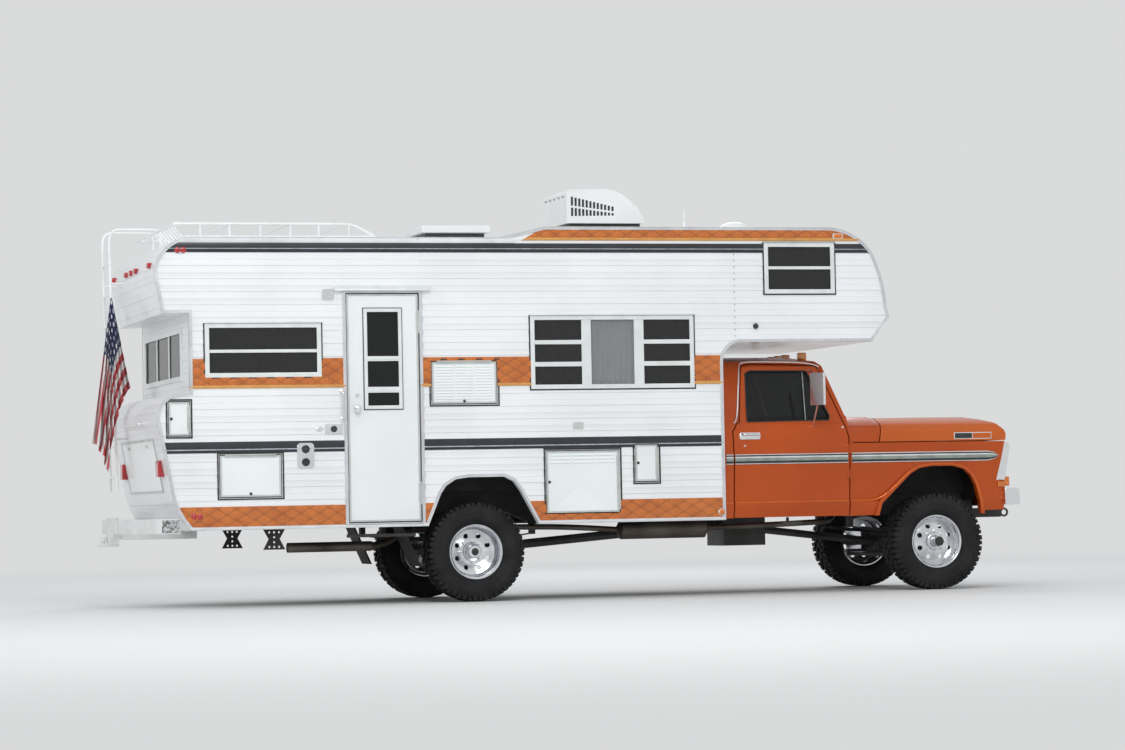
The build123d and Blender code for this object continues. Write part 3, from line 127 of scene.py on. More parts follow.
sky_links.new(sky_rays.outputs["Is Glossy Ray"], seen_or_gloss.inputs[1])
sky_links.new(seen_or_gloss.outputs[0], sky_choice.inputs[0])
sky_links.new(sky_light.outputs[0], sky_choice.inputs[1])
sky_links.new(sky_seen.outputs[0], sky_choice.inputs[2])
sky_links.new(sky_choice.outputs[0], sky_nodes["World Output"].inputs["Surface"])


def lamp(name, place, target, size, watts):
    """A square soft box that faces a point."""
    light = bpy.data.lights.new(name, "AREA")
    light.size = size
    light.energy = watts
    holder = bpy.data.objects.new(name, light)
    bpy.context.scene.collection.objects.link(holder)
    aim = (Vector(target) - Vector(place)).to_track_quat("-Z", "Y")
    holder.matrix_world = Matrix.Translation(place) @ aim.to_matrix().to_4x4()


lamp("soft box near", (-3.0, -13.0, 10.0), (0.5, -1.0, 1.2), 7.0, 700)
lamp("soft box far", (4.0, 11.0, 9.0), (0.0, 1.0, 1.5), 6.0, 330)
lamp("soft box tail", (-13.0, -4.0, 6.0), (-3.0, 0.0, 1.5), 5.0, 210)


# Tyres
# Mud tyres of black rubber, moulded with staggered centre blocks and long and short shoulder blocks that
# run over onto the side walls. The side walls carry plain raised rings only.
def finish(name, light, dark, rough, metal=0.0, coat=0.0, patch=2.5, grain=90.0, relief=0.0, wear=0.12):
    """A surface whose colour drifts between two tones in patches, with a fine grain in its gloss and height."""
    material = bpy.data.materials.new(name)
    material.use_nodes = True
    nodes, links = material.node_tree.nodes, material.node_tree.links
    shader = nodes["Principled BSDF"]
    shader.inputs["Metallic"].default_value = metal
    shader.inputs["Coat Weight"].default_value = coat
    shader.inputs["Coat Roughness"].default_value = 0.06
    place = nodes.new("ShaderNodeTexCoord")
    patches = nodes.new("ShaderNodeTexNoise")
    patches.inputs["Scale"].default_value = patch
    patches.inputs["Detail"].default_value = 5.0
    links.new(place.outputs["Object"], patches.inputs["Vector"])
    tones = nodes.new("ShaderNodeValToRGB")
    tones.color_ramp.elements[0].position = 0.32
    tones.color_ramp.elements[0].color = (*dark, 1)
    tones.color_ramp.elements[1].position = 0.62
    tones.color_ramp.elements[1].color = (*light, 1)
    links.new(patches.outputs["Fac"], tones.inputs["Fac"])
    links.new(tones.outputs["Color"], shader.inputs["Base Color"])
    fine = nodes.new("ShaderNodeTexNoise")
    fine.inputs["Scale"].default_value = grain
    fine.inputs["Detail"].default_value = 3.0
    links.new(place.outputs["Object"], fine.inputs["Vector"])
    gloss = nodes.new("ShaderNodeMapRange")
    gloss.inputs["To Min"].default_value = max(0.02, rough - wear)
    gloss.inputs["To Max"].default_value = min(1.0, rough + wear)
    links.new(fine.outputs["Fac"], gloss.inputs["Value"])
    links.new(gloss.outputs["Result"], shader.inputs["Roughness"])
    if relief:
        bump = nodes.new("ShaderNodeBump")
        bump.inputs["Distance"].default_value = relief
        bump.inputs["Strength"].default_value = 0.6
        links.new(fine.outputs["Fac"], bump.inputs["Height"])
        links.new(bump.outputs["Normal"], shader.inputs["Normal"])
    return material


def piece(name, mesh, material, body, slot, *stands_for, bevel=0.0, smooth=True, angle=35.0):
    """Puts a mesh into the scene: its finish, softened edges, the body it rides on and the node it stands for."""
    if isinstance(mesh, bmesh.types.BMesh):
        made = bpy.data.meshes.new(name)
        bmesh.ops.recalc_face_normals(mesh, faces=mesh.faces)
        mesh.to_mesh(made)
        mesh.free()
        mesh = made
    mesh.materials.clear()
    mesh.materials.append(material)
    holder = bpy.data.objects.new(name, mesh)
    bpy.context.scene.collection.objects.link(holder)
    if smooth:
        mesh.shade_smooth()
        mesh.set_sharp_from_angle(angle=math.radians(angle))
    if bevel:
        rounding = holder.modifiers.new("rounding", "BEVEL")
        rounding.width = bevel
        rounding.segments = 2
        rounding.limit_method = "ANGLE"
        rounding.angle_limit = math.radians(angle)
        rounding.harden_normals = False
    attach(holder, body)
    if stands_for:
        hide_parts(*stands_for)
    return holder


def lathe(work, profile, steps, centre, closed=True):
    """Turns (along, radius) pairs about the Y axis through a point."""
    rings = []
    for step in range(steps):
        turn = 2 * math.pi * step / steps
        rings.append([work.verts.new((centre[0] + radius * math.cos(turn), centre[1] + along,
                                      centre[2] + radius * math.sin(turn))) for along, radius in profile])
    count = len(profile)
    last = count if closed else count - 1
    for step in range(steps):
        here, there = rings[step], rings[(step + 1) % steps]
        for n in range(last):
            m = (n + 1) % count
            work.faces.new((here[n], here[m], there[m], there[n]))


rubber = finish("mud tyre rubber", (0.020, 0.020, 0.021), (0.009, 0.009, 0.010), 0.70, grain=160,
                relief=0.0006,
                patch=6.0)
rubber.node_tree.nodes["Principled BSDF"].inputs["Specular IOR Level"].default_value = 0.25
wheel_centre = {}
for place in ("front_left", "front_right", "rear_left", "rear_right"):
    low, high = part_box(f"tyre_{place}")
    wheel_centre[place] = [(low[axis] + high[axis]) / 2 for axis in range(3)]
tyre_reach = wheel_centre["front_right"][2]
bead = 0.224
groove = tyre_reach - 0.019
carcass = [(0.108, bead), (0.120, bead + 0.004), (0.138, bead + 0.017), (0.150, bead + 0.040),
           (0.1515, bead + 0.043),
           (0.1545, bead + 0.046), (0.1575, bead + 0.072), (0.158, bead + 0.096), (0.1595, bead + 0.099),
           (0.1565, bead + 0.118), (0.151, groove - 0.022), (0.141, groove - 0.007), (0.118, groove),
           (0.060, groove + 0.002), (0.0, groove + 0.003)]
carcass_full = carcass + [(-along, radius) for along, radius in reversed(carcass[:-1])]
inner_wall = [(-0.108, bead - 0.018), (0.108, bead - 0.018)]
pitches = 26
# Blocks of one pitch: corners as (share of the pitch, distance from the middle), then how low its outer edge is
tread_blocks = [
    ([(0.05, 0.006), (0.56, 0.012), (0.66, 0.046), (0.40, 0.062), (0.10, 0.050)], 0.0),
    ([(0.52, 0.070), (0.98, 0.058), (1.10, 0.088), (0.94, 0.112), (0.62, 0.104)], 0.001),
    ([(0.04, 0.080), (0.44, 0.084), (0.50, 0.152), (0.06, 0.156)], 0.004),
    ([(0.60, 0.120), (0.96, 0.126), (0.94, 0.149), (0.62, 0.146)], 0.004),
]


def tread_block(work, centre, corners, drop, start, side):
    """One rubber block: its foot on the carcass and a slightly smaller top."""
    pitch = 2 * math.pi / pitches
    middle_share = sum(share for share, out in corners) / len(corners)
    middle_out = sum(out for share, out in corners) / len(corners)
    foot, top = [], []
    for share, out in corners:
        fallen = drop * max(0.0, out - 0.10) / 0.05
        turn = start + pitch * share
        foot.append(work.verts.new((centre[0] + (groove - 0.010) * math.cos(turn), centre[1] + side * out,
                                    centre[2] + (groove - 0.010) * math.sin(turn))))
        share_in = middle_share + 0.86 * (share - middle_share)
        out_in = middle_out + 0.86 * (out - middle_out)
        turn = start + pitch * share_in
        radius = tyre_reach - fallen - 0.0012
        top.append(work.verts.new((centre[0] + radius * math.cos(turn), centre[1] + side * out_in,
                                   centre[2] + radius * math.sin(turn))))
    work.faces.new(top)
    for n in range(len(corners)):
        m = (n + 1) % len(corners)
        work.faces.new((foot[n], foot[m], top[m], top[n]))
    work.faces.new(list(reversed(foot)))


def side_lug(work, centre, start, side):
    """A flat bar where a long shoulder block runs over onto the side wall."""
    pitch = 2 * math.pi / pitches
    corners = []
    for share, radius, out in ((0.05, tyre_reach - 0.008, 0.1525), (0.47, tyre_reach - 0.008, 0.1525),
                               (0.42, bead + 0.125, 0.1580), (0.12, bead + 0.125, 0.1580)):
        for depth in (0.0, 0.014):
            turn = start + pitch * share
            corners.append(work.verts.new((centre[0] + radius * math.cos(turn),
                                           centre[1] + side * (out - depth),
                                           centre[2] + radius * math.sin(turn))))
    outer, inner = corners[0::2], corners[1::2]
    work.faces.new(outer)
    work.faces.new(list(reversed(inner)))
    for n in range(4):
        m = (n + 1) % 4
        work.faces.new((inner[n], inner[m], outer[m], outer[n]))


for place, centre in wheel_centre.items():
    work = bmesh.new()
    lathe(work, carcass_full + inner_wall, 104, centre)
    for n in range(pitches):
        for side in (1, -1):
            start = 2 * math.pi * (n + (0.5 if side > 0 else 0.0)) / pitches
            for corners, drop in tread_blocks:
                tread_block(work, centre, corners, drop, start, side)
            side_lug(work, centre, start, side)
    short = place.replace("front_", "f").replace("rear_", "r")[:2]
    piece(f"mud_tyre_{place}", work, rubber, f"wheel_{short}", "tyre_rubber", f"tyre_{place}", angle=28)

# Wheels
# Polished alloy rims with eight round hand holes. The front discs stand out around locking hubs, the rear
# ones are dished deep into the rim. Each is held by eight nuts.
def stud(work, start, end, radius, sides, taper=1.0):
    """A short bar with flat ends between two points."""
    start, end = Vector(start), Vector(end)
    turn = (end - start).to_track_quat("Z", "Y")
    rings = []
    for place, size in ((start, radius), (end, radius * taper)):
        rings.append([work.verts.new(place + turn @ Vector((size * math.cos(2 * math.pi * n / sides),
                                                            size * math.sin(2 * math.pi * n / sides), 0)))
                      for n in range(sides)])
    for n in range(sides):
        m = (n + 1) % sides
        work.faces.new((rings[0][n], rings[0][m], rings[1][m], rings[1][n]))
    work.faces.new(list(reversed(rings[0])))
    work.faces.new(rings[1])


def carve(mesh, tool, operation="DIFFERENCE"):
    """Cuts, joins or keeps what two closed meshes share, and returns the result."""
    pair = []
    for name, data in (("blank", mesh), ("tool", tool)):
        if isinstance(data, bmesh.types.BMesh):
            made = bpy.data.meshes.new(name)
            bmesh.ops.recalc_face_normals(data, faces=data.faces)
            data.to_mesh(made)
            data.free()
            data = made
        holder = bpy.data.objects.new(name, data)
        bpy.context.scene.collection.objects.link(holder)
        pair.append(holder)
    step = pair[0].modifiers.new("carve", "BOOLEAN")
    step.operation = operation
    step.solver = "EXACT"
    step.object = pair[1]
    bpy.context.view_layer.update()
    made = bpy.data.meshes.new_from_object(pair[0].evaluated_get(bpy.context.evaluated_depsgraph_get()))
    for holder in pair:
        bpy.data.objects.remove(holder)
    return made


weld = 0.00002        # points of a turned part closer than this are joined
polish = finish("polished wheel alloy", (0.80, 0.81, 0.83), (0.62, 0.63, 0.66), 0.16, metal=1.0, patch=9.0,
                wear=0.06)
rim_outside = [(0.116, 0.217), (0.1155, 0.2232), (0.110, 0.224), (0.106, 0.221), (0.104, 0.207),
               (0.060, 0.205),
               (0.0, 0.202), (-0.060, 0.205), (-0.104, 0.207), (-0.106, 0.221), (-0.110, 0.224),
               (-0.1155, 0.2232),
               (-0.116, 0.214), (-0.104, 0.196), (-0.060, 0.192)]
disc_faces = {
    "front": [(0.010, 0.189), (0.024, 0.186), (0.034, 0.165), (0.042, 0.135), (0.047, 0.112), (0.048, 0.0),
              (0.172, 0.0), (0.176, 0.030), (0.172, 0.041), (0.160, 0.046), (0.092, 0.047), (0.084, 0.052),
              (0.082, 0.066), (0.078, 0.072), (0.061, 0.078), (0.060, 0.100), (0.057, 0.113), (0.050, 0.137),
              (0.042, 0.166), (0.034, 0.184), (0.042, 0.191), (0.070, 0.196), (0.100, 0.201), (0.110, 0.208)],
    "rear": [(-0.030, 0.189), (-0.014, 0.186), (-0.024, 0.160), (-0.034, 0.130), (-0.038, 0.110),
             (-0.038, 0.0),
             (0.078, 0.0), (0.084, 0.030), (0.080, 0.050), (0.070, 0.057), (0.000, 0.060), (-0.006, 0.066),
             (-0.010, 0.073), (-0.026, 0.079), (-0.028, 0.100), (-0.025, 0.113), (-0.015, 0.133),
             (-0.005, 0.162),
             (0.004, 0.184), (0.016, 0.191), (0.050, 0.195), (0.090, 0.199), (0.108, 0.206)],
}
nut_circle, nut_count, nut_radius = 0.0895, 8, 0.0115
hole_circle, hole_radius = 0.139, 0.0205
hub_black = finish("black hub dial", (0.03, 0.03, 0.03), (0.015, 0.015, 0.015), 0.4, grain=200)
for place, centre in wheel_centre.items():
    end, side = place.split("_")
    out = 1 if side == "left" else -1
    work = bmesh.new()
    profile = [(out * along, radius) for along, radius in rim_outside + disc_faces[end]]
    lathe(work, profile, 96, centre)
    bmesh.ops.remove_doubles(work, verts=work.verts, dist=weld)
    holes = bmesh.new()
    seat = 0.060 if end == "front" else -0.028
    for n in range(8):
        turn = 2 * math.pi * (n + 0.5) / 8
        x = centre[0] + hole_circle * math.cos(turn)
        z = centre[2] + hole_circle * math.sin(turn)
        stud(holes, (x, centre[1] + out * (seat - 0.06), z), (x, centre[1] + out * (seat + 0.05), z),
             hole_radius, 24)
    rim = carve(work, holes)
    work = bmesh.new()
    work.from_mesh(rim)
    for n in range(nut_count):
        turn = 2 * math.pi * n / nut_count
        x = centre[0] + nut_circle * math.cos(turn)
        z = centre[2] + nut_circle * math.sin(turn)
        stud(work, (x, centre[1] + out * (seat - 0.002), z), (x, centre[1] + out * (seat + 0.016), z),
             nut_radius, 6)
        stud(work, (x, centre[1] + out * (seat + 0.016), z), (x, centre[1] + out * (seat + 0.024), z), 0.0085,
             12, 0.8)
    short = end[0] + side[0]
    piece(f"alloy_wheel_{place}", work, polish, f"wheel_{short}", "rim_paint", f"wheel_{place}", angle=30)
    work = bmesh.new()
    face = 0.176 if end == "front" else 0.084
    dial = 0.041 if end == "front" else 0.033
    lathe(work, [(out * (face - 0.010), 0.0), (out * (face + 0.002), 0.0), (out * (face + 0.003), 0.012),
                 (out * (face + 0.002), dial - 0.003), (out * (face - 0.006), dial)], 40, centre)
    bmesh.ops.remove_doubles(work, verts=work.verts, dist=weld)
    piece(f"hub_dial_{place}", work, hub_black, f"wheel_{short}", "chassis_paint", angle=30)


# Chassis, axles, springs and steering
# Riveted channel rails with forged and welded running gear bolted below them, all under old satin black
# paint that has gone dusty with use.
def dress(material, *names):
    """Gives CAD nodes their finish."""
    for name in names:
        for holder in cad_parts[name].material_slots:
            holder.material = material


frame_black = finish("dusty chassis black", (0.045, 0.043, 0.040), (0.018, 0.018, 0.019), 0.60, patch=4.0,
                     relief=0.0004)
dress(frame_black, "chassis_frame", "rear_axle", "front_axle", "leaf_springs", "knuckle_left",
      "knuckle_right",
      "tie_rod", "underbody_fittings", "camper_floor")
engine_grey = finish("oily cast iron", (0.10, 0.10, 0.10), (0.04, 0.038, 0.035), 0.55, metal=0.4,
                     relief=0.0008)
dress(engine_grey, "powertrain")
pipe_steel = finish("heat stained exhaust steel", (0.16, 0.14, 0.12), (0.06, 0.045, 0.035), 0.5, metal=0.7,
                    relief=0.0004)
dress(pipe_steel, "exhaust")


# Camper siding
# Thin white aluminium sheet, rolled in lapped courses about a hand wide with a rib along the middle of each,
# stapled to a wooden frame, and cut out for the doors, hatches, windows and wheel arch. The right side's skin is
# in two parts, which meet over the entry door.
def loose_copy(name):
    """A CAD node's mesh, welded, to work on."""
    work = bmesh.new()
    work.from_mesh(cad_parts[name].data)
    bmesh.ops.remove_doubles(work, verts=work.verts, dist=0.00005)
    return work


side_low, side_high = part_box("camper_side_right")
skin_y = -side_low[1]
wall_in = -side_high[1]
bedded_y = skin_y - 0.001        # what is fixed to a side starts a millimetre inside its skin


def wall_blank(node, sign, depth_in, stand_out):
    """A side wall's outline with all its openings, from depth_in behind the skin to stand_out before it."""
    work = loose_copy(node)
    for vertex in work.verts:
        outer = abs(abs(vertex.co.y) - skin_y) < 0.001
        vertex.co.y = sign * (skin_y + stand_out if outer else skin_y - depth_in)
    return work


def add_prism(work, profile, x0, x1):
    """Adds a closed outline of (y, z) points run along the vehicle."""
    ends = [[work.verts.new((x, y, z)) for y, z in profile] for x in (x0, x1)]
    for n in range(len(profile)):
        m = (n + 1) % len(profile)
        work.faces.new((ends[0][n], ends[0][m], ends[1][m], ends[1][n]))
    work.faces.new(list(reversed(ends[0])))
    work.faces.new(ends[1])


def long_prism(profile, x0, x1):
    work = bmesh.new()
    add_prism(work, profile, x0, x1)
    return work


course = 0.1045
course_top = 2.845
siding_low, siding_high = 0.60, 3.10
lap_stand, rib_stand, tuck = 0.0070, 0.0062, 0.0008
siding_white = finish("white siding enamel", (0.90, 0.91, 0.92), (0.84, 0.85, 0.86), 0.34, coat=0.25,
                      patch=1.6,
                      grain=14, relief=0.0003)
courses_down = math.ceil((course_top - siding_low) / course)
walls = [(-1, "camper_side_right"), (-1, "camper_side_rear"), (1, "camper_side_left")]
for sign, node in walls:
    side_low, side_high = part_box(node)
    profile = [(sign * (skin_y - 0.039), siding_low)]
    z = course_top - courses_down * course
    while z < siding_high:
        profile += [(sign * (skin_y + lap_stand), z), (sign * (skin_y + lap_stand), z + 0.004),
                    (sign * (skin_y + rib_stand - 0.002), z + 0.047),
                    (sign * (skin_y + rib_stand), z + 0.050),
                    (sign * (skin_y + rib_stand), z + 0.053),
                    (sign * (skin_y + rib_stand - 0.003), z + 0.056),
                    (sign * (skin_y + tuck), z + course - 0.001)]
        z += course
    profile.append((sign * (skin_y - 0.039), z))
    rolled = long_prism(profile, side_low[0] - 0.02, side_high[0] + 0.02)
    skin = carve(wall_blank(node, sign, skin_y - wall_in, 0.02), rolled, "INTERSECT")
    piece(node.replace("camper_side", "siding"), skin, siding_white, "truck", "camper_skin", node, angle=12)


# Quilted bands and stripes
# Burnt orange moulded panels with a diamond quilt, edged by a gold lip, run along the sides at three heights.
# Black stripes with a thin pale line run under the roof and along the waist.
diamond_length, diamond_height = 0.150, 0.088


def quilt_height(x, z):
    """How far the padding stands out at a point of the diamond pattern."""
    u = x / diamond_length + z / diamond_height
    v = x / diamond_length - z / diamond_height
    pad = abs(math.sin(math.pi * u)) * abs(math.sin(math.pi * v))
    return 0.0042 * pad ** 0.5


def band(sign, x0, x1, z0, z1, stand, quilted, slant):
    """A panel on the skin: a grid for the quilt, or a plain half round strip. Its rear end may slant."""
    work = bmesh.new()
    columns = max(1, round((x1 - x0) / 0.011)) if quilted else 1
    rows = max(2, round((z1 - z0) / 0.009)) if quilted else 4
    grid = []
    for i in range(columns + 1):
        line = []
        for j in range(rows + 1):
            z = z0 + (z1 - z0) * j / rows
            start = x0 + slant * (z - z0)
            x = start + (x1 - start) * i / columns
            edge = min(1.0, 6 * min(j, rows - j) / rows)
            lift = quilt_height(x, z) * edge if quilted else stand * 0.5 * (1 - (2 * j / rows - 1) ** 2)
            line.append(work.verts.new((x, sign * (skin_y + stand + lift), z)))
        grid.append(line)
    for i in range(columns):
        for j in range(rows):
            work.faces.new((grid[i][j], grid[i + 1][j], grid[i + 1][j + 1], grid[i][j + 1]))
    ring = ([line[0] for line in grid] + grid[-1][1:-1] + [line[-1] for line in reversed(grid)]
            + list(reversed(grid[0][1:-1])))
    back = [work.verts.new((v.co.x, sign * (skin_y - 0.004), v.co.z)) for v in ring]
    for n in range(len(ring)):
        m = (n + 1) % len(ring)
        work.faces.new((ring[n], ring[m], back[m], back[n]))
    work.faces.new(back)
    return work


quilt_orange = finish("quilted burnt orange", (0.62, 0.165, 0.018), (0.50, 0.120, 0.012), 0.28, coat=0.5,
                      patch=7.0,
                      grain=40, relief=0.0004)
# Painted shade in the stitched seams between the diamonds: the colour darkens where the padding dips
quilt_nodes, quilt_links = quilt_orange.node_tree.nodes, quilt_orange.node_tree.links


def quilt_step(operation, first, second=0.0):
    """One arithmetic step on the quilt's pattern."""
    node = quilt_nodes.new("ShaderNodeMath")
    node.operation = operation
    for socket, source in zip(node.inputs, (first, second)):
        if isinstance(source, float):
            socket.default_value = source
        else:
            quilt_links.new(source, socket)
    return node.outputs[0]


quilt_place = quilt_nodes.new("ShaderNodeTexCoord")
quilt_axes = quilt_nodes.new("ShaderNodeSeparateXYZ")
quilt_links.new(quilt_place.outputs["Object"], quilt_axes.inputs["Vector"])
along = quilt_step("MULTIPLY", quilt_axes.outputs["X"], math.pi / diamond_length)
upward = quilt_step("MULTIPLY", quilt_axes.outputs["Z"], math.pi / diamond_height)
waves = [quilt_step("ABSOLUTE", quilt_step("SINE", quilt_step(way, along, upward)))
         for way in ("ADD", "SUBTRACT")]
padding = quilt_step("MULTIPLY", waves[0], waves[1])
seam_shade_share = quilt_nodes.new("ShaderNodeMapRange")
seam_shade_share.inputs["From Max"].default_value = 0.30
seam_shade_share.inputs["To Min"].default_value = 0.68
quilt_links.new(padding, seam_shade_share.inputs["Value"])
seam_shade_tint = quilt_nodes.new("ShaderNodeVectorMath")
seam_shade_tint.operation = "SCALE"
quilt_tones = quilt_nodes["Principled BSDF"].inputs["Base Color"].links[0].from_socket
quilt_links.new(quilt_tones, seam_shade_tint.inputs[0])
quilt_links.new(seam_shade_share.outputs["Result"], seam_shade_tint.inputs["Scale"])
quilt_links.new(seam_shade_tint.outputs["Vector"], quilt_nodes["Principled BSDF"].inputs["Base Color"])
gold_lip = finish("gold edge moulding", (0.72, 0.36, 0.09), (0.60, 0.27, 0.06), 0.28, coat=0.3, patch=8.0)
stripe_black = finish("black stripe enamel", (0.022, 0.026, 0.034), (0.012, 0.014, 0.018), 0.35, coat=0.2,
                      patch=5.0,
                      grain=45, relief=0.0003)
stripe_line = finish("pale stripe line", (0.55, 0.60, 0.66), (0.35, 0.38, 0.42), 0.4, patch=25.0)
nose_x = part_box("camper_side_left")[1][0] + 0.01
tail_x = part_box("camper_side_left")[0][0] - 0.01
band_stand, lip_stand, line_stand = 0.0078, 0.0095, 0.0100
sill_white = finish("white sill moulding", (0.80, 0.81, 0.82), (0.66, 0.66, 0.66), 0.35, patch=6.0)
roof_edge = finish("white roof edge", (0.84, 0.85, 0.86), (0.70, 0.71, 0.72), 0.35, patch=5.0)
top_slant = 1.82        # how far the top band's rear end leans forward for its height
# Bands: name, rear, front, bottom, top, how far they stand out, quilted, slant, finish
bands = [
    ("lower_band", tail_x, nose_x, 0.650, 0.812, band_stand, True, 0.0, quilt_orange),
    ("lower_lip", tail_x, nose_x, 0.628, 0.652, lip_stand, False, 0.0, sill_white),
    ("middle_band", -3.36, 1.115, 1.778, 1.993, band_stand, True, 0.0, quilt_orange),
    ("middle_lip", -3.36, 1.115, 1.756, 1.780, lip_stand, False, 0.0, gold_lip),
    ("top_band", -0.564, nose_x, 2.966, 3.052, band_stand, True, top_slant, quilt_orange),
    ("top_lip", -0.60, nose_x, 2.946, 2.968, lip_stand, False, top_slant, gold_lip),
    ("waist_stripe", tail_x, nose_x, 1.241, 1.330, band_stand, False, 0.0, stripe_black),
    ("waist_line", tail_x, nose_x, 1.262, 1.272, line_stand, False, 0.0, stripe_line),
    ("roof_stripe", tail_x, nose_x, 2.845, 2.921, band_stand, False, 0.0, stripe_black),
    ("roof_line", tail_x, nose_x, 2.872, 2.880, line_stand, False, 0.0, stripe_line),
    ("roof_edge", tail_x, -0.66, 2.924, 2.968, lip_stand, False, 0.0, roof_edge),
]
for sign, node in walls:
    wall_x0, wall_x1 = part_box(node)[0][0] - 0.01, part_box(node)[1][0] + 0.01
    for name, x0, x1, z0, z1, stand, quilted, slant, paint in bands:
        x0, x1 = max(x0, wall_x0), min(x1, wall_x1)
        if x0 < x1:
            blank = wall_blank(node, sign, 0.002, 0.03)
            strip = carve(band(sign, x0, x1, z0, z1, stand, quilted, slant), blank, "INTERSECT")
            piece(node.replace("camper_side", name), strip, paint, "truck", "camper_skin", angle=30)


# Edge mouldings
# Extruded aluminium angle, screwed over the raw edge of the siding all round each side and round the wheel arch.
# The screw heads show along it, and an upright row of rivets holds the siding over the cab.
def outer_loops(node, sign):
    """The rings of (x, z) points that bound the wall's outer face: its outline and its openings."""
    work = loose_copy(node)
    outer = [face for face in work.faces if all(abs(sign * v.co.y - skin_y) < 0.0005 for v in face.verts)]
    chosen = set(outer)
    following = {}
    for face in outer:
        for loop in face.loops:
            edge = loop.edge
            if sum(1 for near in edge.link_faces if near in chosen) == 1:
                following[loop.vert.index] = loop.link_loop_next.vert.index
    place = {v.index: (v.co.x, v.co.z) for v in work.verts}
    work.free()
    rings = []
    while following:
        start = next(iter(following))
        ring, here = [], start
        while here in following:
            ring.append(place[here])
            here = following.pop(here)
        rings.append(straightened(ring))
    return rings


def straightened(ring):
    """Drops the points that lie on a straight run."""
    kept = []
    for n, point in enumerate(ring):
        before, after = Vector(ring[n - 1]), Vector(ring[(n + 1) % len(ring)])
        here = Vector(point)
        if (here - before).length > 1e-5 and (after - here).length > 1e-5:
            turn = (here - before).normalized().dot((after - here).normalized())
            if turn < 0.99998:
                kept.append(point)
    return kept


def signed_area(ring):
    return sum(ring[n - 1][0] * ring[n][1] - ring[n][0] * ring[n - 1][1] for n in range(len(ring))) / 2


def shifted(ring, distance):
    """The ring moved to its left by a distance, with mitred corners."""
    moved = []
    for n, point in enumerate(ring):
        before, here, after = Vector(ring[n - 1]), Vector(point), Vector(ring[(n + 1) % len(ring)])
        first, second = (here - before).normalized(), (after - here).normalized()
        left = Vector((-first.y - second.y, first.x + second.x)).normalized()
        stretch = max(0.5, left.dot(Vector((-first.y, first.x))))
        moved.append(tuple(here + left * distance / stretch))
    return moved


def ring_strip(work, ring, inside, outside, sign, base, stand):
    """A flat strip of metal along a ring, between two distances to its left, standing out from the skin."""
    near, far = shifted(ring, inside), shifted(ring, outside)
    rows = []
    for points, y in ((near, base), (near, stand), (far, stand), (far, base)):
        rows.append([work.verts.new((x, sign * y, z)) for x, z in points])
    for n in range(len(ring)):
        m = (n + 1) % len(ring)
        for k in range(4):
            work.faces.new((rows[k][n], rows[k][m], rows[(k + 1) % 4][m], rows[(k + 1) % 4][n]))


def rows_of_screws(work, ring, distance, sign, stand, gap, radius=0.0042, bare=None):
    """Screw heads at even steps along the middle of a strip, and none in a bare stretch of (x0, x1, z0, z1)."""
    line = shifted(ring, distance)
    for n in range(len(line)):
        start, end = Vector(line[n - 1]), Vector(line[n])
        count = int((end - start).length // gap)
        for k in range(count):
            x, z = start.lerp(end, (k + 0.5) / count)
            if bare and bare[0] < x < bare[1] and bare[2] < z < bare[3]:
                continue
            stud(work, (x, sign * (stand - 0.001), z), (x, sign * (stand + 0.0022), z), radius, 8, 0.7)


def add_box(work, x0, x1, y0, y1, z0, z1):
    """A closed box between two corners, one of several in a mesh."""
    corners = [work.verts.new((x, y, z)) for x in (x0, x1) for y in (y0, y1) for z in (z0, z1)]
    for a, b, c, d in ((0, 1, 3, 2), (4, 6, 7, 5), (0, 4, 5, 1), (2, 3, 7, 6), (0, 2, 6, 4), (1, 5, 7, 3)):
        work.faces.new((corners[a], corners[b], corners[c], corners[d]))


moulding = finish("weathered edge aluminium", (0.72, 0.73, 0.75), (0.60, 0.61, 0.63), 0.36, metal=0.60,
                  patch=7.0,
                  grain=120, relief=0.0003)
# Over the entry door the two skins of the right side meet under the same lapped sheet, with no moulding
seam_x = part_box("camper_side_rear")[1][0]
over_door = (seam_x - 0.030, seam_x + 0.030, 2.560, 2.944)
for sign, node in walls:
    rings = outer_loops(node, sign)
    largest = max(rings, key=lambda ring: abs(signed_area(ring)))
    ring = largest if signed_area(largest) > 0 else list(reversed(largest))
    work = bmesh.new()
    rows_of_screws(work, ring, 0.017, sign, skin_y + 0.0125, 0.145, bare=over_door)
    for width, stand in ((0.026, 0.0125), (0.006, 0.0165)):
        strip = bmesh.new()
        ring_strip(strip, ring, 0.0, width, sign, bedded_y, skin_y + stand)
        clear = bmesh.new()
        y0, y1 = sorted((sign * (skin_y - 0.010), sign * (skin_y + 0.030)))
        add_box(clear, over_door[0], over_door[1], y0, y1, over_door[2], over_door[3])
        work.from_mesh(carve(strip, clear))
    piece(node.replace("camper_side", "edge_moulding"), work, moulding, "truck", "trim_aluminium",
          bevel=0.0015)
rivet_grey = finish("tarnished rivet heads", (0.20, 0.20, 0.20), (0.11, 0.11, 0.11), 0.5, metal=0.4, patch=30)
for sign, side in ((-1, "right"), (1, "left")):
    work = bmesh.new()
    for n in range(15):
        x, z = seam_x + 2.705, course_top - 0.013 - n * course / 2
        stud(work, (x, sign * bedded_y, z), (x, sign * (skin_y + 0.0095), z), 0.0048, 8, 0.75)
    piece(f"siding_rivets_{side}", work, rivet_grey, "truck", "trim_aluminium")

# Windows
# Extruded aluminium frames with sliding or louvred panes of smoked glass, each bedded on a black gasket. The black
# ring that shows all round is the gasket and a painted shadow line round the frame. A drip edge runs along the top.
window_aluminium = finish("brushed window aluminium", (0.84, 0.87, 0.86), (0.76, 0.79, 0.78), 0.34,
                          metal=0.30,
                          patch=7.0, grain=260, relief=0.0002)
gasket_black = finish("black gasket rubber", (0.025, 0.025, 0.026), (0.012, 0.012, 0.012), 0.6, grain=150)
# Places along the vehicle are written from the rear axle, and shift_x moves them into the frame
shift_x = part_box("camper_side_left")[1][0] - 3.595
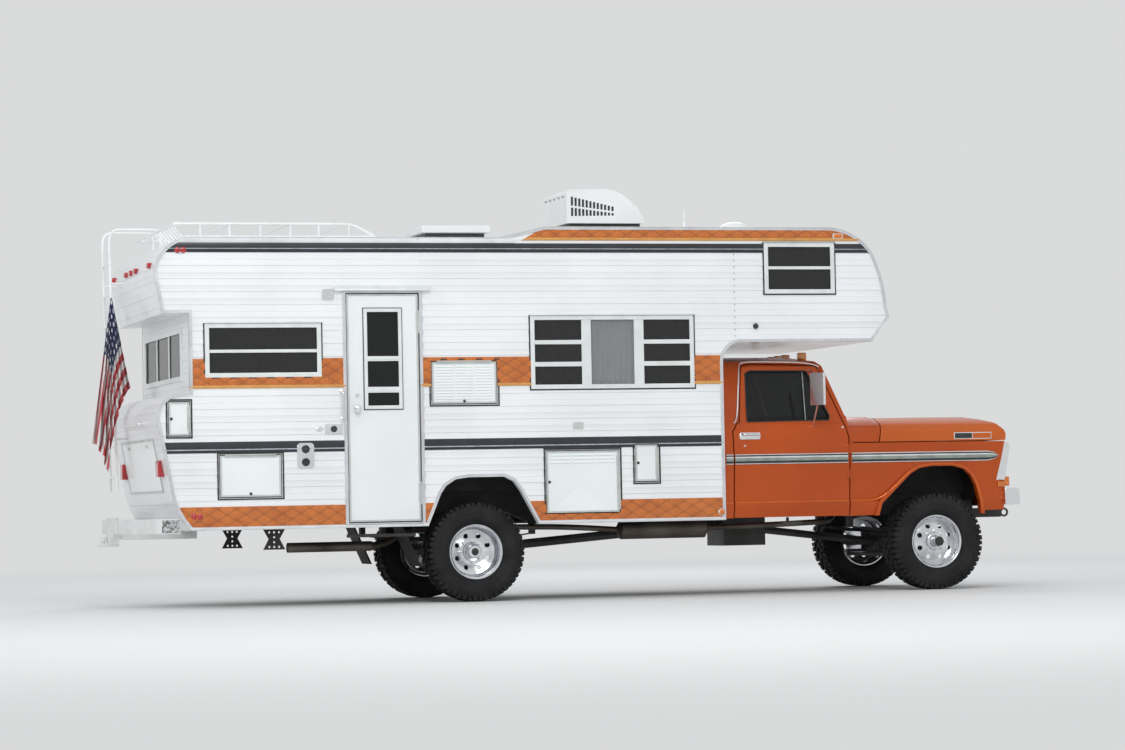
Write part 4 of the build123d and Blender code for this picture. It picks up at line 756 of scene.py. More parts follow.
# Windows: name, rear, front, bottom, top
window_list = [("rear", -2.243, -1.295, 1.843, 2.276), ("main", 0.451, 1.857, 1.726, 2.328),
               ("overcab", 2.488, 3.112, 2.504, 2.931)]


def as_ring(x0, x1, z0, z1):
    """A rectangle's corners, anticlockwise as seen in X and Z."""
    return [(x0, z0), (x1, z0), (x1, z1), (x0, z1)]


def plain_copy(node):
    """A CAD node's mesh with its flat faces joined, ready for softened edges."""
    work = loose_copy(node)
    bmesh.ops.dissolve_limit(work, angle_limit=math.radians(1.0), verts=work.verts, edges=work.edges)
    return work


piece("window_frames_all", plain_copy("window_frames"), window_aluminium, "truck", "trim_aluminium",
      "window_frames", bevel=0.0025)
for name, x0, x1, z0, z1 in window_list:
    for sign, side in ((-1, "right"), (1, "left")):
        ring = as_ring(x0 + shift_x, x1 + shift_x, z0, z1)
        work = bmesh.new()
        # A black ring round the frame: its gasket and a painted shadow line
        ring_strip(work, ring, -0.011, 0.004, sign, bedded_y, skin_y + 0.0095)
        piece(f"{name}_window_gasket_{side}", work, gasket_black, "truck", "chassis_paint", bevel=0.001)
        work = bmesh.new()
        face = skin_y + 0.0135
        top = [(sign * skin_y, z1 + 0.002), (sign * (face + 0.016), z1 + 0.001),
               (sign * (face + 0.017), z1 + 0.005),
               (sign * (skin_y + 0.002), z1 + 0.014), (sign * skin_y, z1 + 0.014)]
        work = long_prism(top, x0 + shift_x - 0.012, x1 + shift_x + 0.012)
        piece(f"{name}_window_drip_{side}", work, window_aluminium, "truck", "trim_aluminium", bevel=0.001)



def smoked_glass(name, tint, clear=0.0):
    """Tinted glass with a faint haze. A clear share above 0 lightens the pane in the middle of the large window."""
    material = bpy.data.materials.new(name)
    material.use_nodes = True
    nodes, links = material.node_tree.nodes, material.node_tree.links
    shader = nodes["Principled BSDF"]
    shader.inputs["Base Color"].default_value = (tint, 1.05 * tint, 1.05 * tint, 1)
    shader.inputs["Transmission Weight"].default_value = 0.75
    shader.inputs["IOR"].default_value = 1.28
    place = nodes.new("ShaderNodeTexCoord")
    haze = nodes.new("ShaderNodeTexNoise")
    haze.inputs["Scale"].default_value = 5.0
    haze_range = nodes.new("ShaderNodeMapRange")
    haze_range.inputs["To Min"].default_value = 0.02
    haze_range.inputs["To Max"].default_value = 0.12
    links.new(place.outputs["Object"], haze.inputs["Vector"])
    links.new(haze.outputs["Fac"], haze_range.inputs["Value"])
    links.new(haze_range.outputs["Result"], shader.inputs["Roughness"])
    if clear:
        axes = nodes.new("ShaderNodeSeparateXYZ")
        links.new(place.outputs["Object"], axes.inputs["Vector"])
        near_middle = nodes.new("ShaderNodeMath")
        near_middle.operation = "COMPARE"
        near_middle.inputs[1].default_value = 1.155 + shift_x
        near_middle.inputs[2].default_value = 0.230
        links.new(axes.outputs["X"], near_middle.inputs[0])
        pane = nodes.new("ShaderNodeMapRange")
        pane.inputs["To Min"].default_value = tint
        pane.inputs["To Max"].default_value = clear
        links.new(near_middle.outputs[0], pane.inputs["Value"])
        links.new(pane.outputs["Result"], shader.inputs["Base Color"])
    return material


dress(smoked_glass("smoked camper glass", 0.115, 0.62), "window_glass")
dress(smoked_glass("smoked cab glass", 0.06), "entry_door_glass", "cab_glass", "door_glass_left",
      "door_glass_right")


# Curtains
# Pleated cotton curtains on rails behind the camper's windows, drawn most of the way across. The large window has
# a lighter sheer one in its middle.
def share(node, chosen):
    """The solids of a CAD node whose box passes a test, with their flat faces joined."""
    work = plain_copy(node)
    left = set(work.verts)
    while left:
        island = {left.pop()}
        front = list(island)
        while front:
            for edge in front.pop().link_edges:
                for vertex in edge.verts:
                    if vertex in left:
                        left.remove(vertex)
                        island.add(vertex)
                        front.append(vertex)
        low = [min(vertex.co[axis] for vertex in island) for axis in range(3)]
        high = [max(vertex.co[axis] for vertex in island) for axis in range(3)]
        if not chosen(low, high):
            bmesh.ops.delete(work, geom=list(island), context="VERTS")
    return work


def woven(name, light, dark, threads):
    """Cloth: two crossed rows of threads in its height, soft sheen and a drift between two tones."""
    material = finish(name, light, dark, 0.85, patch=3.0, grain=30)
    nodes, links = material.node_tree.nodes, material.node_tree.links
    shader = nodes["Principled BSDF"]
    shader.inputs["Sheen Weight"].default_value = 0.3
    place = nodes.new("ShaderNodeTexCoord")
    heights = []
    for direction in ("X", "Z"):
        rows = nodes.new("ShaderNodeTexWave")
        rows.bands_direction = direction
        rows.inputs["Scale"].default_value = threads
        links.new(place.outputs["Object"], rows.inputs["Vector"])
        heights.append(rows.outputs["Fac"])
    weave = nodes.new("ShaderNodeMath")
    weave.operation = "ADD"
    links.new(heights[0], weave.inputs[0])
    links.new(heights[1], weave.inputs[1])
    bump = nodes.new("ShaderNodeBump")
    bump.inputs["Distance"].default_value = 0.0004
    bump.inputs["Strength"].default_value = 0.4
    links.new(weave.outputs[0], bump.inputs["Height"])
    links.new(bump.outputs["Normal"], shader.inputs["Normal"])
    return material


curtain_grey = woven("grey curtain cotton", (0.30, 0.31, 0.32), (0.20, 0.21, 0.22), 160)
curtain_sheer = woven("pale sheer curtain", (0.62, 0.64, 0.66), (0.48, 0.50, 0.52), 160)
curtain_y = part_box("curtains")[1][1] - 0.013
# Curtains: name, rear, front, bottom, top, finish
curtain_list = [("rear_a", -2.238, -1.850, 1.842, 2.288, curtain_grey),
                ("rear_b", -1.690, -1.300, 1.842, 2.288, curtain_grey),
                ("main_a", 0.456, 0.930, 1.725, 2.340, curtain_grey),
                ("main_b", 0.950, 1.360, 1.725, 2.340, curtain_sheer),
                ("main_c", 1.385, 1.852, 1.725, 2.340, curtain_grey),
                ("overcab_a", 2.493, 2.745, 2.503, 2.943, curtain_grey),
                ("overcab_b", 2.860, 3.107, 2.503, 2.943, curtain_grey)]
for number, (name, x0, x1, z0, z1, cloth) in enumerate(curtain_list):
    for sign, side in ((-1, "right"), (1, "left")):
        work = bmesh.new()
        columns, rows = round((x1 - x0) / 0.004), 14
        pleats = round((x1 - x0) / 0.048)
        grid = []
        for i in range(columns + 1):
            share_x = i / columns
            line = []
            for j in range(rows + 1):
                share_z = j / rows
                depth = 0.0095 * math.sin(2 * math.pi * pleats * share_x
                                          + 0.25 * math.sin(5 * share_x + number))
                depth *= 0.80 + 0.20 * share_z
                line.append(work.verts.new((x0 + shift_x + (x1 - x0) * share_x, sign * (curtain_y + depth),
                                            z0 + (z1 - z0) * share_z)))
            grid.append(line)
        for i in range(columns):
            for j in range(rows):
                work.faces.new((grid[i][j], grid[i + 1][j], grid[i + 1][j + 1], grid[i][j + 1]))
        stands_for = ("curtains",) if number == 0 and sign < 0 else ()
        curtain = piece(f"curtain_{name}_{side}", work, cloth, "truck", "curtain_cloth", *stands_for)
        thickness = curtain.modifiers.new("cloth thickness", "SOLIDIFY")
        thickness.thickness = 0.0012


# Entry door
# A flat door of white enamelled sheet on a light frame, hung on two hinges. It has a tall window in three panes,
# a round knob and a screwed aluminium frame round the opening.
def behind_skin(node):
    """The flat part of a door or hatch, without what stands out from it."""
    low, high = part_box(node)
    keep = bmesh.new()
    add_box(keep, low[0] - 0.01, high[0] + 0.01, -skin_y, high[1] + 0.01, low[2] - 0.01, high[2] + 0.01)
    return carve(plain_copy(node), keep, "INTERSECT")


def rounded(x0, x1, z0, z1, radius, steps=4):
    """A rectangle with rounded corners, anticlockwise as seen in X and Z."""
    ring = []
    for x, z, start in ((x1 - radius, z0 + radius, -0.5), (x1 - radius, z1 - radius, 0.0),
                        (x0 + radius, z1 - radius, 0.5), (x0 + radius, z0 + radius, 1.0)):
        for step in range(steps + 1):
            turn = math.pi * (start + 0.5 * step / steps)
            ring.append((x + radius * math.cos(turn), z + radius * math.sin(turn)))
    return ring


def boss(work, ring, sign, base, stand, inset=0.001, crown=0.0):
    """A raised plate on a side: upright edges, a face drawn in by inset, and a crown over it."""
    middle = Vector((sum(x for x, z in ring), sum(z for x, z in ring))) / len(ring)
    levels = [(ring, base), (ring, stand - inset), (shifted(ring, inset), stand)]
    if crown:
        for size in (0.85, 0.6, 0.3):
            smaller = [tuple(middle + (Vector(point) - middle) * size) for point in ring]
            levels.append((smaller, stand + crown * (1 - size * size)))
    rows = [[work.verts.new((x, sign * y, z)) for x, z in points] for points, y in levels]
    for here, there in zip(rows, rows[1:]):
        for n in range(len(ring)):
            work.faces.new((here[n - 1], here[n], there[n], there[n - 1]))
    work.faces.new(rows[-1])
    work.faces.new(list(reversed(rows[0])))


def round_part(work, sign, x, y, z, profile, steps=28):
    """A turned part on a side, from (out, radius) pairs that start and end on its axis."""
    lathe(work, [(sign * out, radius) for out, radius in profile], steps, (x, sign * y, z))
    bmesh.ops.remove_doubles(work, verts=work.verts, dist=weld)


barrel_y = skin_y + 0.007


def surface_hinge(work, start, end, leaf):
    """The moving half of a hinge on the skin: a barrel in knuckles, and its leaf on the panel."""
    start, end = Vector(start), Vector(end)
    knuckles = max(3, round((end - start).length / 0.03))
    for n in range(knuckles):
        stud(work, start.lerp(end, (n + 0.04) / knuckles), start.lerp(end, (n + 0.96) / knuckles), 0.0068, 12)
    add_box(work, *leaf)


door_white = finish("white door enamel", (0.89, 0.92, 0.91), (0.83, 0.86, 0.85), 0.32, coat=0.3, patch=1.6,
                    grain=150,
                    relief=0.0001, wear=0.05)
frame_grey = finish("grey green anodised frame", (0.62, 0.66, 0.63), (0.53, 0.56, 0.54), 0.38, metal=0.40,
                    patch=9,
                    grain=180, relief=0.0002)
fitting_black = finish("black moulded fitting", (0.035, 0.035, 0.036), (0.018, 0.018, 0.019), 0.42, patch=20,
                       grain=220,
                       relief=0.0003)
chrome = finish("worn chrome plate", (0.86, 0.87, 0.88), (0.77, 0.78, 0.80), 0.11, metal=1.0, patch=6,
                wear=0.05)
door_x0, door_x1, door_z0, door_z1 = -1.083 + shift_x, -0.490 + shift_x, 0.669, 2.508
piece("entry_door_panel", behind_skin("entry_door"), door_white, "entry_door", "door_skin", "entry_door",
      bevel=0.0015)
door_ring = as_ring(door_x0, door_x1, door_z0, door_z1)
work = bmesh.new()
ring_strip(work, door_ring, 0.0, 0.016, -1, bedded_y, skin_y + 0.0028)
for z in (0.819, 2.208):
    axis_x = door_x1 + 0.004
    surface_hinge(work, (axis_x, -barrel_y, z), (axis_x, -barrel_y, z + 0.150),
                  (axis_x - 0.024, axis_x, -skin_y - 0.003, -skin_y, z, z + 0.150))
piece("entry_door_edge", work, frame_grey, "entry_door", "trim_aluminium", bevel=0.0008)
pane_x0, pane_x1, pane_z0, pane_z1 = -0.944 + shift_x, -0.630 + shift_x, 1.578, 2.391
work = bmesh.new()
ring_strip(work, as_ring(pane_x0, pane_x1, pane_z0, pane_z1), 0.0, 0.028, -1, bedded_y, skin_y + 0.0125)
for low, high in ((1.965, 2.005), (1.710, 1.757)):
    add_box(work, pane_x0 + 0.02, pane_x1 - 0.02, -skin_y - 0.011, -skin_y + 0.002, low, high)
    add_box(work, pane_x0 + 0.02, pane_x1 - 0.02, -skin_y - 0.015, -skin_y - 0.009, low + 0.012, low + 0.020)
piece("entry_door_window", work, window_aluminium, "entry_door", "trim_aluminium", bevel=0.0016)
work = bmesh.new()
ring_strip(work, as_ring(pane_x0, pane_x1, pane_z0, pane_z1), -0.007, 0.002, -1, bedded_y, skin_y + 0.006)
piece("entry_door_gasket", work, gasket_black, "entry_door", "chassis_paint", bevel=0.001)
knob_profile = [(0.0, 0.0), (0.0, 0.033), (0.005, 0.034), (0.010, 0.026), (0.014, 0.014), (0.028, 0.012),
                (0.034, 0.020),
                (0.042, 0.0255), (0.050, 0.023), (0.055, 0.012), (0.055, 0.0)]
work = bmesh.new()
round_part(work, -1, -1.004 + shift_x, skin_y, 1.579, knob_profile)
round_part(work, -1, -1.004 + shift_x, skin_y, 1.690, [(0.0, 0.0), (0.0, 0.016), (0.006, 0.015),
                                                       (0.007, 0.0)])
piece("entry_door_knob", work, chrome, "entry_door", "fitting_black", angle=40)

# Hatches
# Flush doors of the same white sheet, each in an extruded frame with a black rubber seal outside it and a small
# black lock. The vents have pressed louvres.
# Hatches: node, body, rear, front, bottom, top, hinged edge, lock x, lock z
hatch_list = [
    ("rear_hatch", "rear_hatch", -2.540, -2.375, 1.385, 1.650, "front", -2.520, 1.518),
    ("locker_door", "locker_door", -2.134, -1.639, 0.888, 1.220, "top", -1.887, 0.912),
    ("fridge_vent_door", "fridge_vent", -0.382, 0.159, 1.616, 1.955, "top", -0.112, 1.634),
    ("generator_door", "generator_door", 0.570, 1.188, 0.711, 1.216, "front", 0.594, 0.964),
    ("forward_hatch", "forward_hatch", 1.334, 1.524, 0.959, 1.260, "front", 1.356, 1.110),
]
# Louvres: node, columns, rows, lowest, step
louvre_list = {"fridge_vent_door": (3, 12, 1.652, 0.0236), "generator_door": (3, 3, 1.118, 0.030)}
seals = bmesh.new()
for node, body, x0, x1, z0, z1, edge, lock_x, lock_z in hatch_list:
    x0, x1, lock_x = x0 + shift_x, x1 + shift_x, lock_x + shift_x
    ring = as_ring(x0, x1, z0, z1)
    ring_strip(seals, ring, -0.024, -0.0118, -1, skin_y - 0.002, skin_y + 0.0088)
    piece(f"{node}_panel", behind_skin(node), door_white, body, "door_skin", node, bevel=0.0012)
    work = bmesh.new()
    ring_strip(work, ring, 0.0, 0.015, -1, bedded_y, skin_y + 0.0026)
    if edge == "front":
        axis_x = x1 + 0.004
        surface_hinge(work, (axis_x, -barrel_y, z0 + 0.04), (axis_x, -barrel_y, z1 - 0.04),
                      (axis_x - 0.024, axis_x, -skin_y - 0.003, -skin_y, z0 + 0.04, z1 - 0.04))
    else:
        axis_z = z1 + 0.004
        surface_hinge(work, (x0 + 0.04, -barrel_y, axis_z), (x1 - 0.04, -barrel_y, axis_z),
                      (x0 + 0.04, x1 - 0.04, -skin_y - 0.003, -skin_y, axis_z - 0.024, axis_z))
    rows_of_screws(work, ring, 0.008, -1, skin_y + 0.0026, 0.11, radius=0.003)
    piece(f"{node}_frame", work, frame_grey, body, "trim_aluminium", bevel=0.0006)
    work = bmesh.new()
    round_part(work, -1, lock_x, skin_y, lock_z, [(0.0, 0.0), (0.0, 0.012), (0.006, 0.0115), (0.0075, 0.008),
                                                  (0.0075, 0.0)])
    add_box(work, lock_x - 0.0015, lock_x + 0.0015, -skin_y - 0.0085, -skin_y - 0.006, lock_z - 0.006,
            lock_z + 0.006)
    piece(f"{node}_lock", work, fitting_black, body, "fitting_black", angle=40)
    if node in louvre_list:
        columns, rows, lowest, step = louvre_list[node]
        work = bmesh.new()
        width = (x1 - x0 - 0.05) / columns
        for column in range(columns):
            for row in range(rows):
                z = lowest + row * step
                start = x0 + 0.025 + column * width
                add_prism(work, [(-skin_y + 0.0005, z), (-skin_y - 0.0075, z), (-skin_y - 0.0070, z + 0.003),
                                 (-skin_y - 0.0035, z + 0.010), (-skin_y + 0.0005, z + 0.017)],
                          start + 0.010, start + width - 0.010)
        piece(f"{node}_louvres", work, door_white, body, "door_skin", bevel=0.0012)
piece("hatch_seals", seals, gasket_black, "truck", "chassis_paint", bevel=0.0012)

# Door frame, drip cap, handle and hinge halves
# Folded and drawn aluminium, screwed through the siding. The assist handle beside the door is a bent tube on
# two round feet.
door_frame = share("camper_trim", lambda low, high: low[1] > -skin_y - 0.0035 and high[1] < 0)
rows_of_screws(door_frame, as_ring(-1.117 + shift_x, -0.448 + shift_x, 0.640, 2.532), 0.014, -1,
               skin_y + 0.003, 0.19)
piece("entry_door_frame", door_frame, frame_grey, "truck", "trim_aluminium", "camper_trim", bevel=0.0008)
cap_profile = [(-skin_y + 0.001, 2.5325), (-skin_y - 0.040, 2.5325), (-skin_y - 0.044, 2.537),
               (-skin_y - 0.043, 2.543),
               (-skin_y - 0.030, 2.556), (-skin_y - 0.012, 2.573), (-skin_y + 0.001, 2.573)]
cap = long_prism(cap_profile, -1.184 + shift_x, -0.391 + shift_x)
for n in range(8):
    x = -1.132 + n * 0.0985 + shift_x
    stud(cap, (x, -skin_y - 0.014, 2.566), (x, -skin_y - 0.0215, 2.567), 0.0042, 8, 0.7)
piece("entry_drip_cap", cap, window_aluminium, "truck", "trim_aluminium", bevel=0.0012)
clamp = share("camper_trim", lambda low, high: low[2] > 2.40 and high[2] < 2.552 and high[1] < 0)
rows_of_screws(clamp, as_ring(-1.287 + shift_x, -1.190 + shift_x, 2.470, 2.550), 0.014, -1, skin_y + 0.030,
               0.05)
piece("awning_clamp", clamp, chrome, "truck", "trim_aluminium", bevel=0.003)
halves = share("camper_trim", lambda low, high: -skin_y - 0.016 < low[1] < -skin_y - 0.010
               and high[0] - low[0] < 0.08
               and high[2] < 2.4 and high[1] < 0)
piece("hinge_halves", halves, frame_grey, "truck", "trim_aluminium", bevel=0.0008)


def bent_tube(work, points, radius):
    """A tube that follows a smooth line from its first point to its last."""
    curve = bpy.data.curves.new("tube", "CURVE")
    curve.dimensions = "3D"
    curve.bevel_depth = radius
    curve.bevel_resolution = 3
    curve.use_fill_caps = True
    line = curve.splines.new("NURBS")
    line.points.add(len(points) - 1)
    for point, place in zip(line.points, points):
        point.co = (*place, 1.0)
    line.order_u = 3
    line.use_endpoint_u = True
    line.resolution_u = 5
    holder = bpy.data.objects.new("tube", curve)
    bpy.context.scene.collection.objects.link(holder)
    bpy.context.view_layer.update()
    made = bpy.data.meshes.new_from_object(holder.evaluated_get(bpy.context.evaluated_depsgraph_get()))
    bpy.data.objects.remove(holder)
    work.from_mesh(made)


handle_x, handle_out = -1.131 + shift_x, -skin_y - 0.056
work = bmesh.new()
bent_tube(work, [(handle_x, -skin_y, 1.500), (handle_x, -skin_y - 0.030, 1.500),
                 (handle_x, handle_out, 1.502),
                 (handle_x, handle_out, 1.530), (handle_x, handle_out, 1.610), (handle_x, handle_out, 1.690),
                 (handle_x, handle_out, 1.718), (handle_x, -skin_y - 0.030, 1.720),
                 (handle_x, -skin_y, 1.720)], 0.010)
for z in (1.500, 1.720):
    round_part(work, -1, handle_x, skin_y, z, [(0.0, 0.0), (0.0, 0.021), (0.0095, 0.020), (0.012, 0.012),
                                               (0.012, 0.0)])
piece("assist_handle", work, chrome, "truck", "trim_aluminium", angle=40)

# Side fittings
# A water inlet with two black cups, a power inlet, a small oval vent and a blank cover, all screwed to the siding,
# and the black bump stop under the cab window.
plates = bmesh.new()
boss(plates, rounded(-1.507 + shift_x, -1.368 + shift_x, 1.107, 1.313, 0.030), -1, bedded_y, skin_y + 0.0125)
boss(plates, rounded(-1.276 + shift_x, -1.130 + shift_x, 1.381, 1.461, 0.006), -1, bedded_y, skin_y + 0.0120)
boss(plates, rounded(-1.353 + shift_x, -1.293 + shift_x, 1.405, 1.441, 0.0178), -1, bedded_y, skin_y + 0.0115,
     0.002, 0.004)
rows_of_screws(plates, as_ring(-1.276 + shift_x, -1.130 + shift_x, 1.381, 1.461), 0.010, -1, skin_y + 0.012,
               0.06, 0.003)
piece("side_plates", plates, chrome, "truck", "trim_aluminium", angle=40)
blank = bmesh.new()
boss(blank, rounded(0.802 + shift_x, 0.890 + shift_x, 1.394, 1.451, 0.004), -1, bedded_y, skin_y + 0.0105)
piece("blank_cover", blank, frame_grey, "truck", "trim_aluminium", angle=40)
cup = [(0.0, 0.0), (0.0, 0.033), (0.014, 0.0335), (0.0185, 0.031), (0.018, 0.026), (0.015, 0.0245),
       (0.0148, 0.0)]
work = bmesh.new()
for z in (1.158, 1.262):
    round_part(work, -1, -1.4375 + shift_x, skin_y, z, cup)
round_part(work, -1, -1.203 + shift_x, skin_y, 1.421, [(0.0, 0.0), (0.0, 0.026), (0.017, 0.0265),
                                                       (0.021, 0.024), (0.022, 0.0)])
round_part(work, -1, 2.403 + shift_x, skin_y, 2.233, [(0.0, 0.0), (0.0, 0.024), (0.012, 0.023),
                                                      (0.020, 0.018), (0.030, 0.017),
                                                     (0.034, 0.013), (0.034, 0.0)])
piece("black_side_fittings", work, fitting_black, "truck", "fitting_black", angle=40)


# Camper lamps
# Red and amber marker lenses of moulded plastic on bright bases screwed to the skin, a pair of tail lamps and a
# row of small red lamps over the rear wall.
def lens(name, colour):
    """Moulded lens plastic: deep colour, hard gloss and fine upright flutes."""
    material = finish(name, colour, tuple(0.72 * value for value in colour), 0.12, coat=0.9, patch=18,
                      wear=0.05)
    nodes, links = material.node_tree.nodes, material.node_tree.links
    place = nodes.new("ShaderNodeTexCoord")
    flutes = nodes.new("ShaderNodeTexWave")
    flutes.inputs["Scale"].default_value = 38.0
    links.new(place.outputs["Object"], flutes.inputs["Vector"])
    bump = nodes.new("ShaderNodeBump")
    bump.inputs["Distance"].default_value = 0.0012
    bump.inputs["Strength"].default_value = 0.5
    links.new(flutes.outputs["Fac"], bump.inputs["Height"])
    links.new(bump.outputs["Normal"], nodes["Principled BSDF"].inputs["Normal"])
    return material


red_lens = lens("red lamp lens", (0.52, 0.012, 0.016))
amber_lens = lens("amber lamp lens", (0.80, 0.20, 0.010))
bases, reds, ambers = bmesh.new(), bmesh.new(), bmesh.new()
base_y = skin_y + 0.0085
for sign in (-1, 1):
    for x, z in ((-2.428, 2.864), (-2.326, 0.739)):
        x += shift_x
        boss(bases, rounded(x - 0.055, x + 0.055, z - 0.032, z + 0.032, 0.030), sign, bedded_y, base_y, 0.002)
        for side in (-1, 1):
            boss(reds, rounded(x + side * 0.024 - 0.024, x + side * 0.024 + 0.024, z - 0.026, z + 0.026,
                               0.0235), sign,
                 base_y - 0.001, base_y + 0.002, 0.001, 0.008)
    x, z = 3.148 + shift_x, 2.986
    boss(bases, rounded(x - 0.045, x + 0.045, z - 0.024, z + 0.024, 0.010), sign, bedded_y, skin_y + 0.0135,
         0.002)
    boss(ambers, rounded(x - 0.038, x + 0.038, z - 0.018, z + 0.018, 0.016), sign, skin_y + 0.0125,
         skin_y + 0.0145, 0.001,
         0.006)
    x, z = 2.072 + shift_x, 0.692
    boss(bases, rounded(x - 0.030, x + 0.030, z - 0.030, z + 0.030, 0.0295), sign, bedded_y, skin_y + 0.0130,
         0.002)
    boss(ambers, rounded(x - 0.025, x + 0.025, z - 0.025, z + 0.025, 0.0245), sign, skin_y + 0.0120,
         skin_y + 0.0140, 0.001,
         0.006)
piece("marker_bases", bases, chrome, "truck", "bumper_chrome", angle=40)
piece("red_markers", reds, red_lens, "truck", "red_lens", "camper_lamps", angle=50)
piece("amber_markers", ambers, amber_lens, "truck", "lamp_lens", angle=50)
tail_lamps = share("camper_lamps", lambda low, high: high[2] < 1.3 and high[2] > 1.1 and abs(low[1]) < 1.0)
piece("tail_lamps", tail_lamps, red_lens, "truck", "red_lens", bevel=0.006)
cap_lamps = share("camper_lamps", lambda low, high: low[2] > 2.70 and high[2] < 2.80 and abs(low[1]) < 1.0)
piece("cap_lamps", cap_lamps, red_lens, "truck", "red_lens", bevel=0.010)


# Walls across, nose and roof
# The rear and front walls are clad in the same white sheet. The nose and the roof are one smooth moulding and a
# flat painted sheet with lapped seams.
def ridged(name, light, dark, rough, direction, pitch, relief):
    """Painted sheet with shallow ridges at an even pitch along one axis."""
    material = finish(name, light, dark, rough, coat=0.2, patch=1.5, grain=14)
    nodes, links = material.node_tree.nodes, material.node_tree.links
    place = nodes.new("ShaderNodeTexCoord")
    split = nodes.new("ShaderNodeSeparateXYZ")
    links.new(place.outputs["Object"], split.inputs["Vector"])
    share_up = nodes.new("ShaderNodeMath")
    share_up.operation = "DIVIDE"
    share_up.inputs[1].default_value = pitch
    links.new(split.outputs[direction], share_up.inputs[0])
    lap = nodes.new("ShaderNodeMath")
    lap.operation = "FRACT"
    links.new(share_up.outputs[0], lap.inputs[0])
    shape = nodes.new("ShaderNodeFloatCurve")
    points = shape.mapping.curves[0].points
    points[0].location = (0.0, 0.0)
    points[1].location = (1.0, 0.15)
    points.new(0.03, 1.0)
    points.new(0.45, 0.75)
    points.new(0.50, 0.85)
    points.new(0.56, 0.55)
    shape.mapping.update()
    links.new(lap.outputs[0], shape.inputs["Value"])
    bump = nodes.new("ShaderNodeBump")
    bump.inputs["Distance"].default_value = relief
    bump.inputs["Strength"].default_value = 1.0
    links.new(shape.outputs["Value"], bump.inputs["Height"])
    links.new(bump.outputs["Normal"], nodes["Principled BSDF"].inputs["Normal"])
    return material


coursed = ridged("white coursed sheet", (0.86, 0.87, 0.88), (0.79, 0.80, 0.81), 0.34, "Z", course, 0.006)
dress(coursed, "camper_rear_wall", "camper_front_wall")
nose_white = finish("white moulded nose", (0.90, 0.91, 0.92), (0.85, 0.86, 0.87), 0.28, coat=0.4, patch=1.2,
                    grain=60,
                    relief=0.0002, wear=0.05)
dress(nose_white, "camper_nose")
roof_white = ridged("dusty white roof sheet", (0.80, 0.80, 0.79), (0.68, 0.68, 0.66), 0.5, "X", 1.22, 0.004)
dress(roof_white, "camper_roof")


# Cab body
# Pressed steel panels in burnt orange metallic paint under clear lacquer, with even gaps round the doors and the
# hood. The insides of the fenders and the underside of the hood are black.
def blackened(holder, black, inner):
    """Gives the faces that pass a test a second finish."""
    holder.data.materials.append(black)
    for face in holder.data.polygons:
        if inner(face.center, face.normal):
            face.material_index = 1


cab_orange = finish("burnt orange metallic", (0.540, 0.080, 0.005), (0.440, 0.062, 0.004), 0.28, metal=0.30,
                    coat=0.35,
                    patch=1.1, grain=420, wear=0.05)
# A lighter copy of the body orange: painted highlight, used where light falls brighter on the hood, the creases, the
# arch lips and a trim field
painted_highlight_orange = finish("sunlit orange metallic", (0.640, 0.128, 0.015), (0.545, 0.102, 0.011), 0.26, metal=0.30,
                     coat=0.35,
                     patch=1.1, grain=420, wear=0.05)
for orange in (cab_orange, painted_highlight_orange):
    orange.node_tree.nodes["Principled BSDF"].inputs["Specular IOR Level"].default_value = 0.3
under_black = finish("black underseal", (0.030, 0.029, 0.028), (0.014, 0.014, 0.014), 0.75, patch=9.0,
                     grain=130,
                     relief=0.0008)
piece("cab_shell_painted", plain_copy("cab_shell"), cab_orange, "truck", "cab_paint", "cab_shell",
      bevel=0.002)
skins = share("front_fenders", lambda low, high: high[0] - low[0] > 1.30)
skins = piece("fender_skins", skins, cab_orange, "truck", "cab_paint", "front_fenders", bevel=0.002)
blackened(skins, under_black, lambda place, normal: normal.y * place.y < -0.3 * abs(place.y))
piece("fender_aprons", share("front_fenders", lambda low, high: high[0] - low[0] < 1.30), under_black,
      "truck",
      "chassis_paint", bevel=0.001)
# The hood is painted in the lighter orange, a painted highlight over the whole panel
hood = piece("hood_painted", plain_copy("hood"), painted_highlight_orange, "hood", "hood_paint", "hood", bevel=0.004)
blackened(hood, under_black, lambda place, normal: normal.z < -0.35)
for side in ("left", "right"):
    piece(f"cab_door_{side}_painted", plain_copy(f"cab_door_{side}"), cab_orange, f"cab_door_{side[0]}",
          "cab_paint",
          f"cab_door_{side}", bevel=0.002)

# The cowl's shoulders close the top ahead of the windscreen, and a rolled crease runs low along each side and round
# the wheel arch.
cowl_rear_x, cowl_front_x = 3.245 + shift_x, 3.524 + shift_x
# Shoulder profile: distance from the middle, height
shoulder = [(0.640, 1.468), (0.640, 1.4775), (0.750, 1.4652), (0.925, 1.4152), (0.962, 1.3920),
            (0.955, 1.3860),
            (0.920, 1.4060), (0.748, 1.4560)]
